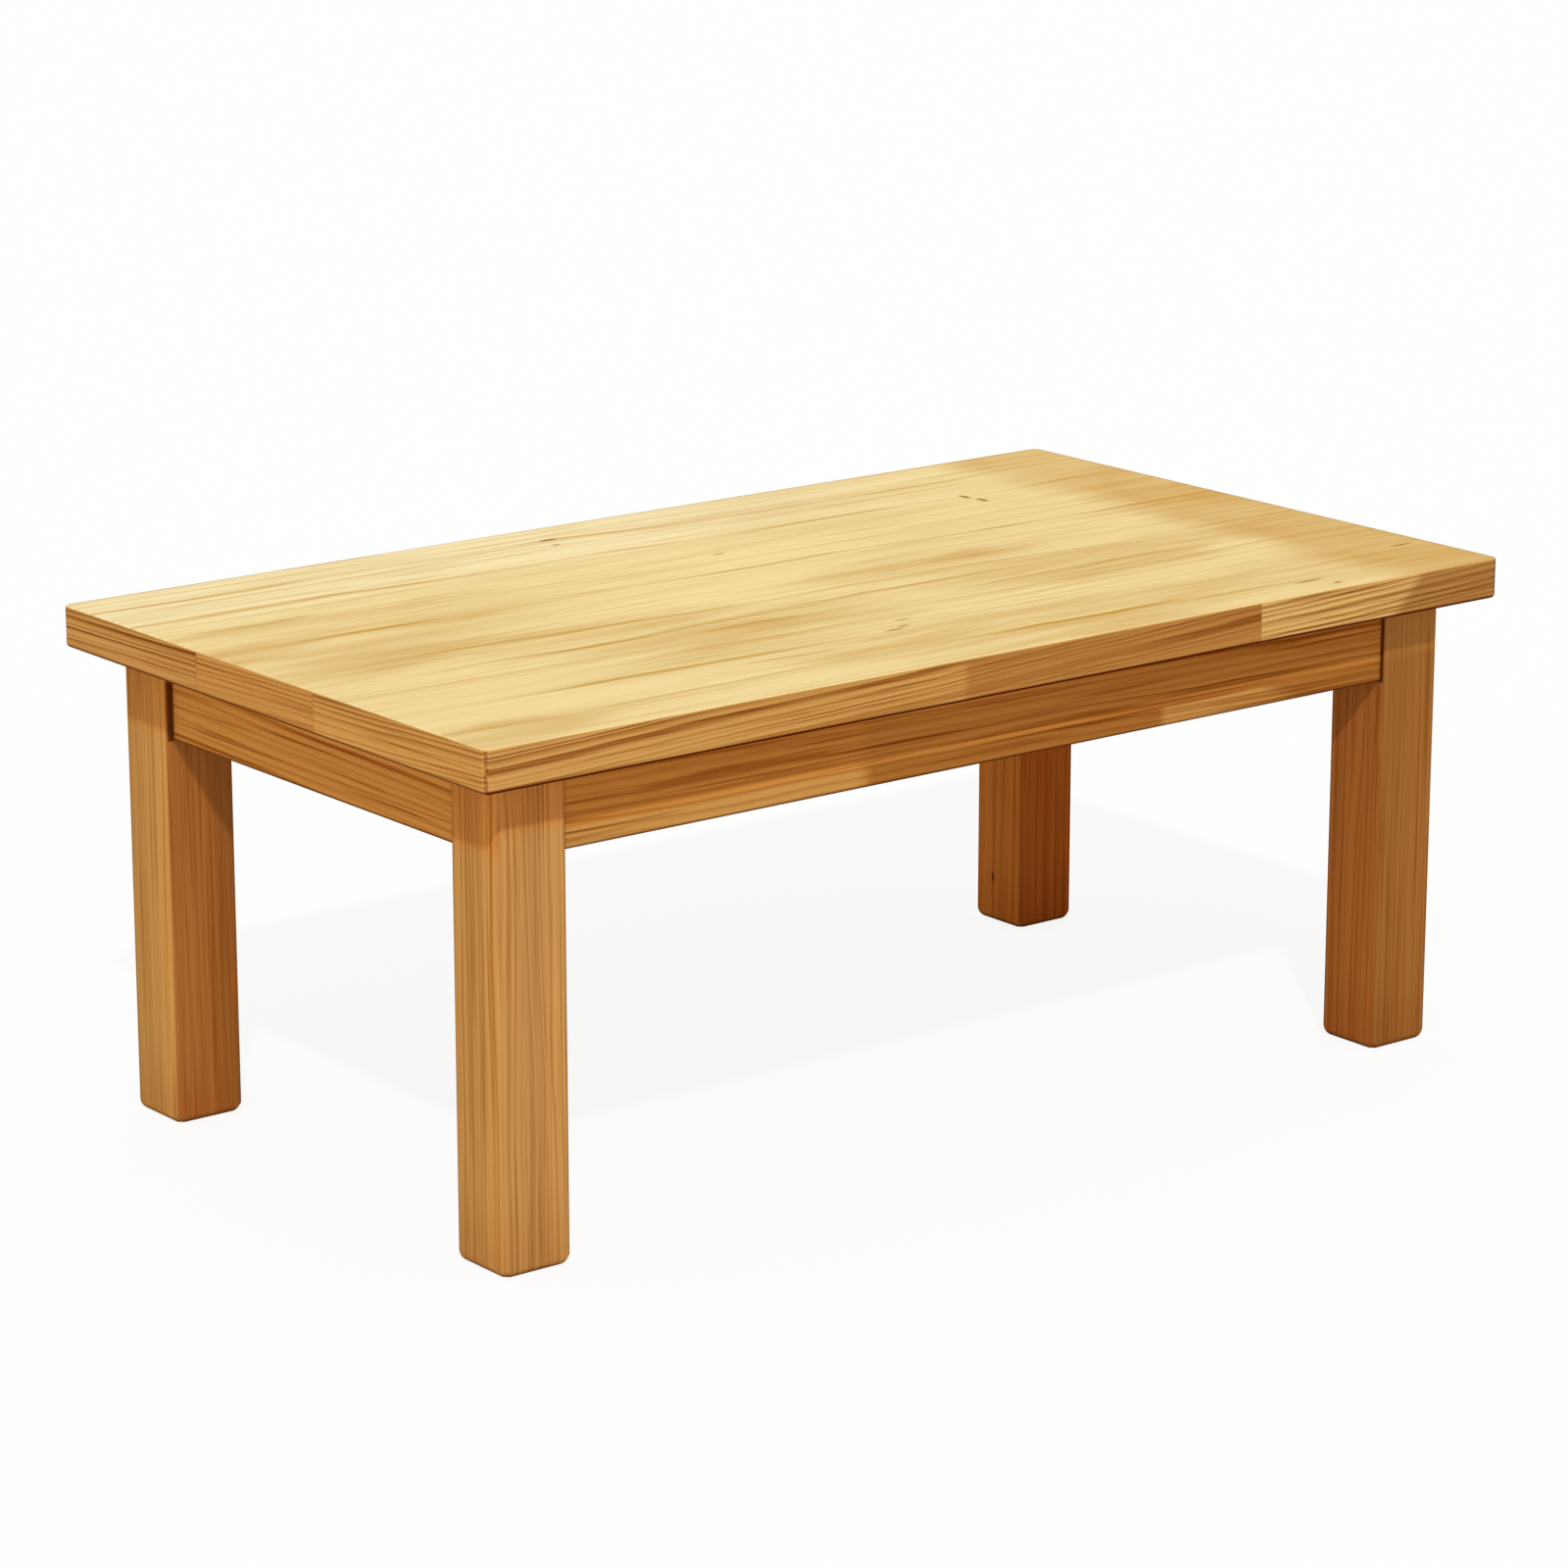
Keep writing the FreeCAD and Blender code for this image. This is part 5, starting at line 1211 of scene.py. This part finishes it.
class KOTATSU_PG_stage(bpy.types.PropertyGroup):
    """Light, floor and lens of the picture."""

    sun: FloatProperty(
        name="Key Light", description="Strength of the key light from the front left",
        min=0, default=1.5)
    sun_spread: FloatProperty(
        name="Key Spread", description="Angle that the key light fills, which softens its shadows",
        subtype="ANGLE", min=0, default=math.radians(2))
    sky: FloatProperty(
        name="Room Light", description="Strength of the even light from all round",
        min=0, default=0.62)
    lens: FloatProperty(
        name="Focal Length", description="Focal length of the camera on a 36 mm sensor, in millimetres",
        min=10, default=119.739)
    floor: FloatVectorProperty(
        name="Floor", description="Colour of the plain floor",
        subtype="COLOR", min=0, max=1, default=(0.82, 0.82, 0.81))


CAMERA_AZIMUTH = math.radians(-38.1914)
CAMERA_ELEVATION = math.radians(15.0199)
CAMERA_PLACE = (-2.62877, -3.32704, 1.39221)
SENSOR_WIDTH = 36
VIEW_DEPTH = 200
KEY_DIRECTION = (-0.585, -0.833, 1.0)
KEY_COLOUR = (1.0, 0.985, 0.96)
WHITE = (1.0, 1.0, 1.0, 1.0)
FLOOR_HALF = 30.0
FLOOR_GLOW = 1.03
FLOOR_GLOW_SHARE = 0.86


class KOTATSU_OT_stage(bpy.types.Operator):
    """Set the floor, the lights and the camera"""

    bl_idname = "kotatsu.stage"
    bl_label = "Stage"

    def execute(self, context):
        stage = context.scene.kotatsu_stage
        lay_floor(stage)
        hang_lights(stage)
        place_camera(stage)
        context.scene.view_settings.view_transform = "Standard"
        return {"FINISHED"}


def seen_directly(sheet):
    """1 for rays that come straight from the camera, or by way of gloss or glass."""
    seen = [sheet.node("ShaderNodeLightPath", output=name)
            for name in ("Is Camera Ray", "Is Glossy Ray", "Is Transmission Ray")]
    return (seen[0] + seen[1] + seen[2]).capped()


def lay_floor(stage):
    """A large pale floor that keeps a faint shadow and is otherwise white to the camera."""
    finish = Finish("floor_paper")
    finish.tree.nodes.remove(finish.surface)
    colour = finish.tinted(stage.floor, 0.995 + finish.grain(3, 3, 3) * 0.01)
    matt = finish.node("ShaderNodeBsdfDiffuse", None, {"Color": colour})
    glow = finish.node("ShaderNodeEmission", None, {"Color": WHITE, "Strength": FLOOR_GLOW})
    inputs = {0: seen_directly(finish) * FLOOR_GLOW_SHARE, 1: matt, 2: glow}
    shader = finish.node("ShaderNodeMixShader", None, inputs)
    finish.tree.links.new(shader.socket, finish.tree.nodes["Material Output"].inputs["Surface"])
    mesh = bpy.data.meshes.new("floor")
    corners = [(x * FLOOR_HALF, y * FLOOR_HALF, 0) for x, y in ((-1, -1), (1, -1), (1, 1), (-1, 1))]
    mesh.from_pydata(corners, [], [(0, 1, 2, 3)])
    mesh.materials.append(finish.material)
    floor = placed("floor", mesh)


def hang_lights(stage):
    """An even room light and one key light from the front left."""
    world = bpy.data.worlds.new("room")
    world.use_nodes = True
    bpy.context.scene.world = world
    sheet = Sheet(world.node_tree)
    lit = world.node_tree.nodes["Background"]
    lit.inputs["Color"].default_value = WHITE
    lit.inputs["Strength"].default_value = stage.sky
    white = sheet.node("ShaderNodeBackground", None, {"Color": WHITE, "Strength": 1.0})
    inputs = {0: seen_directly(sheet), 1: Wire(sheet, lit.outputs[0]), 2: white}
    shader = sheet.node("ShaderNodeMixShader", None, inputs)
    world.node_tree.links.new(shader.socket, world.node_tree.nodes["World Output"].inputs["Surface"])
    lamp = bpy.data.lights.new("key", "SUN")
    lamp.energy = stage.sun
    lamp.angle = stage.sun_spread
    lamp.color = KEY_COLOUR
    key = placed("key", lamp)
    key.rotation_euler = Vector(KEY_DIRECTION).to_track_quat("Z", "Y").to_euler()


def place_camera(stage):
    """The camera of the photo, found from the table's own lines."""
    lens = bpy.data.cameras.new("camera")
    lens.lens = stage.lens
    lens.sensor_width = SENSOR_WIDTH
    lens.clip_end = VIEW_DEPTH
    flat = math.cos(CAMERA_ELEVATION)
    back = Vector((math.sin(CAMERA_AZIMUTH) * flat, -math.cos(CAMERA_AZIMUTH) * flat,
                   math.sin(CAMERA_ELEVATION)))
    right = Vector((0, 0, 1)).cross(back).normalized()
    up = back.cross(right)
    turn = Matrix((right, up, back)).transposed().to_4x4()
    camera = placed("camera", lens)
    camera.matrix_world = Matrix.Translation(CAMERA_PLACE) @ turn
    bpy.context.scene.camera = camera


# Add-on

SETTINGS = {
    "kotatsu_pine": KOTATSU_PG_pine,
    "kotatsu_fittings": KOTATSU_PG_fittings,
    "kotatsu_stage": KOTATSU_PG_stage,
}
STEPS = (
    KOTATSU_OT_tabletop,
    KOTATSU_OT_edge_bands,
    KOTATSU_OT_legs,
    KOTATSU_OT_aprons,
    KOTATSU_OT_inner_frame,
    KOTATSU_OT_brackets,
    KOTATSU_OT_screws,
    KOTATSU_OT_heater,
    KOTATSU_OT_electrics,
    KOTATSU_OT_fan,
    KOTATSU_OT_stage,
)


class KOTATSU_PT_panel(bpy.types.Panel):
    """The table's pieces and settings"""

    bl_idname = "KOTATSU_PT_panel"
    bl_label = "Kotatsu Table"
    bl_space_type = "VIEW_3D"
    bl_region_type = "UI"
    bl_category = "Kotatsu"

    def draw(self, context):
        for step in STEPS:
            self.layout.operator(step.bl_idname)
        for name, group in SETTINGS.items():
            box = self.layout.box()
            for label in group.__annotations__:
                box.prop(getattr(context.scene, name), label)


CLASSES = (*SETTINGS.values(), *STEPS, KOTATSU_PT_panel)


def register():
    for made in CLASSES:
        bpy.utils.register_class(made)
    for name, group in SETTINGS.items():
        setattr(bpy.types.Scene, name, PointerProperty(type=group))


def unregister():
    for name in SETTINGS:
        delattr(bpy.types.Scene, name)
    for made in reversed(CLASSES):
        bpy.utils.unregister_class(made)


def main():
    register()
    bpy.ops.kotatsu.tabletop()
    bpy.ops.kotatsu.edge_bands()
    bpy.ops.kotatsu.legs()
    bpy.ops.kotatsu.aprons()
    bpy.ops.kotatsu.inner_frame()
    bpy.ops.kotatsu.brackets()
    bpy.ops.kotatsu.screws()
    bpy.ops.kotatsu.heater()
    bpy.ops.kotatsu.electrics()
    bpy.ops.kotatsu.fan()
    bpy.ops.kotatsu.stage()


if __name__ == "__main__":
    main()
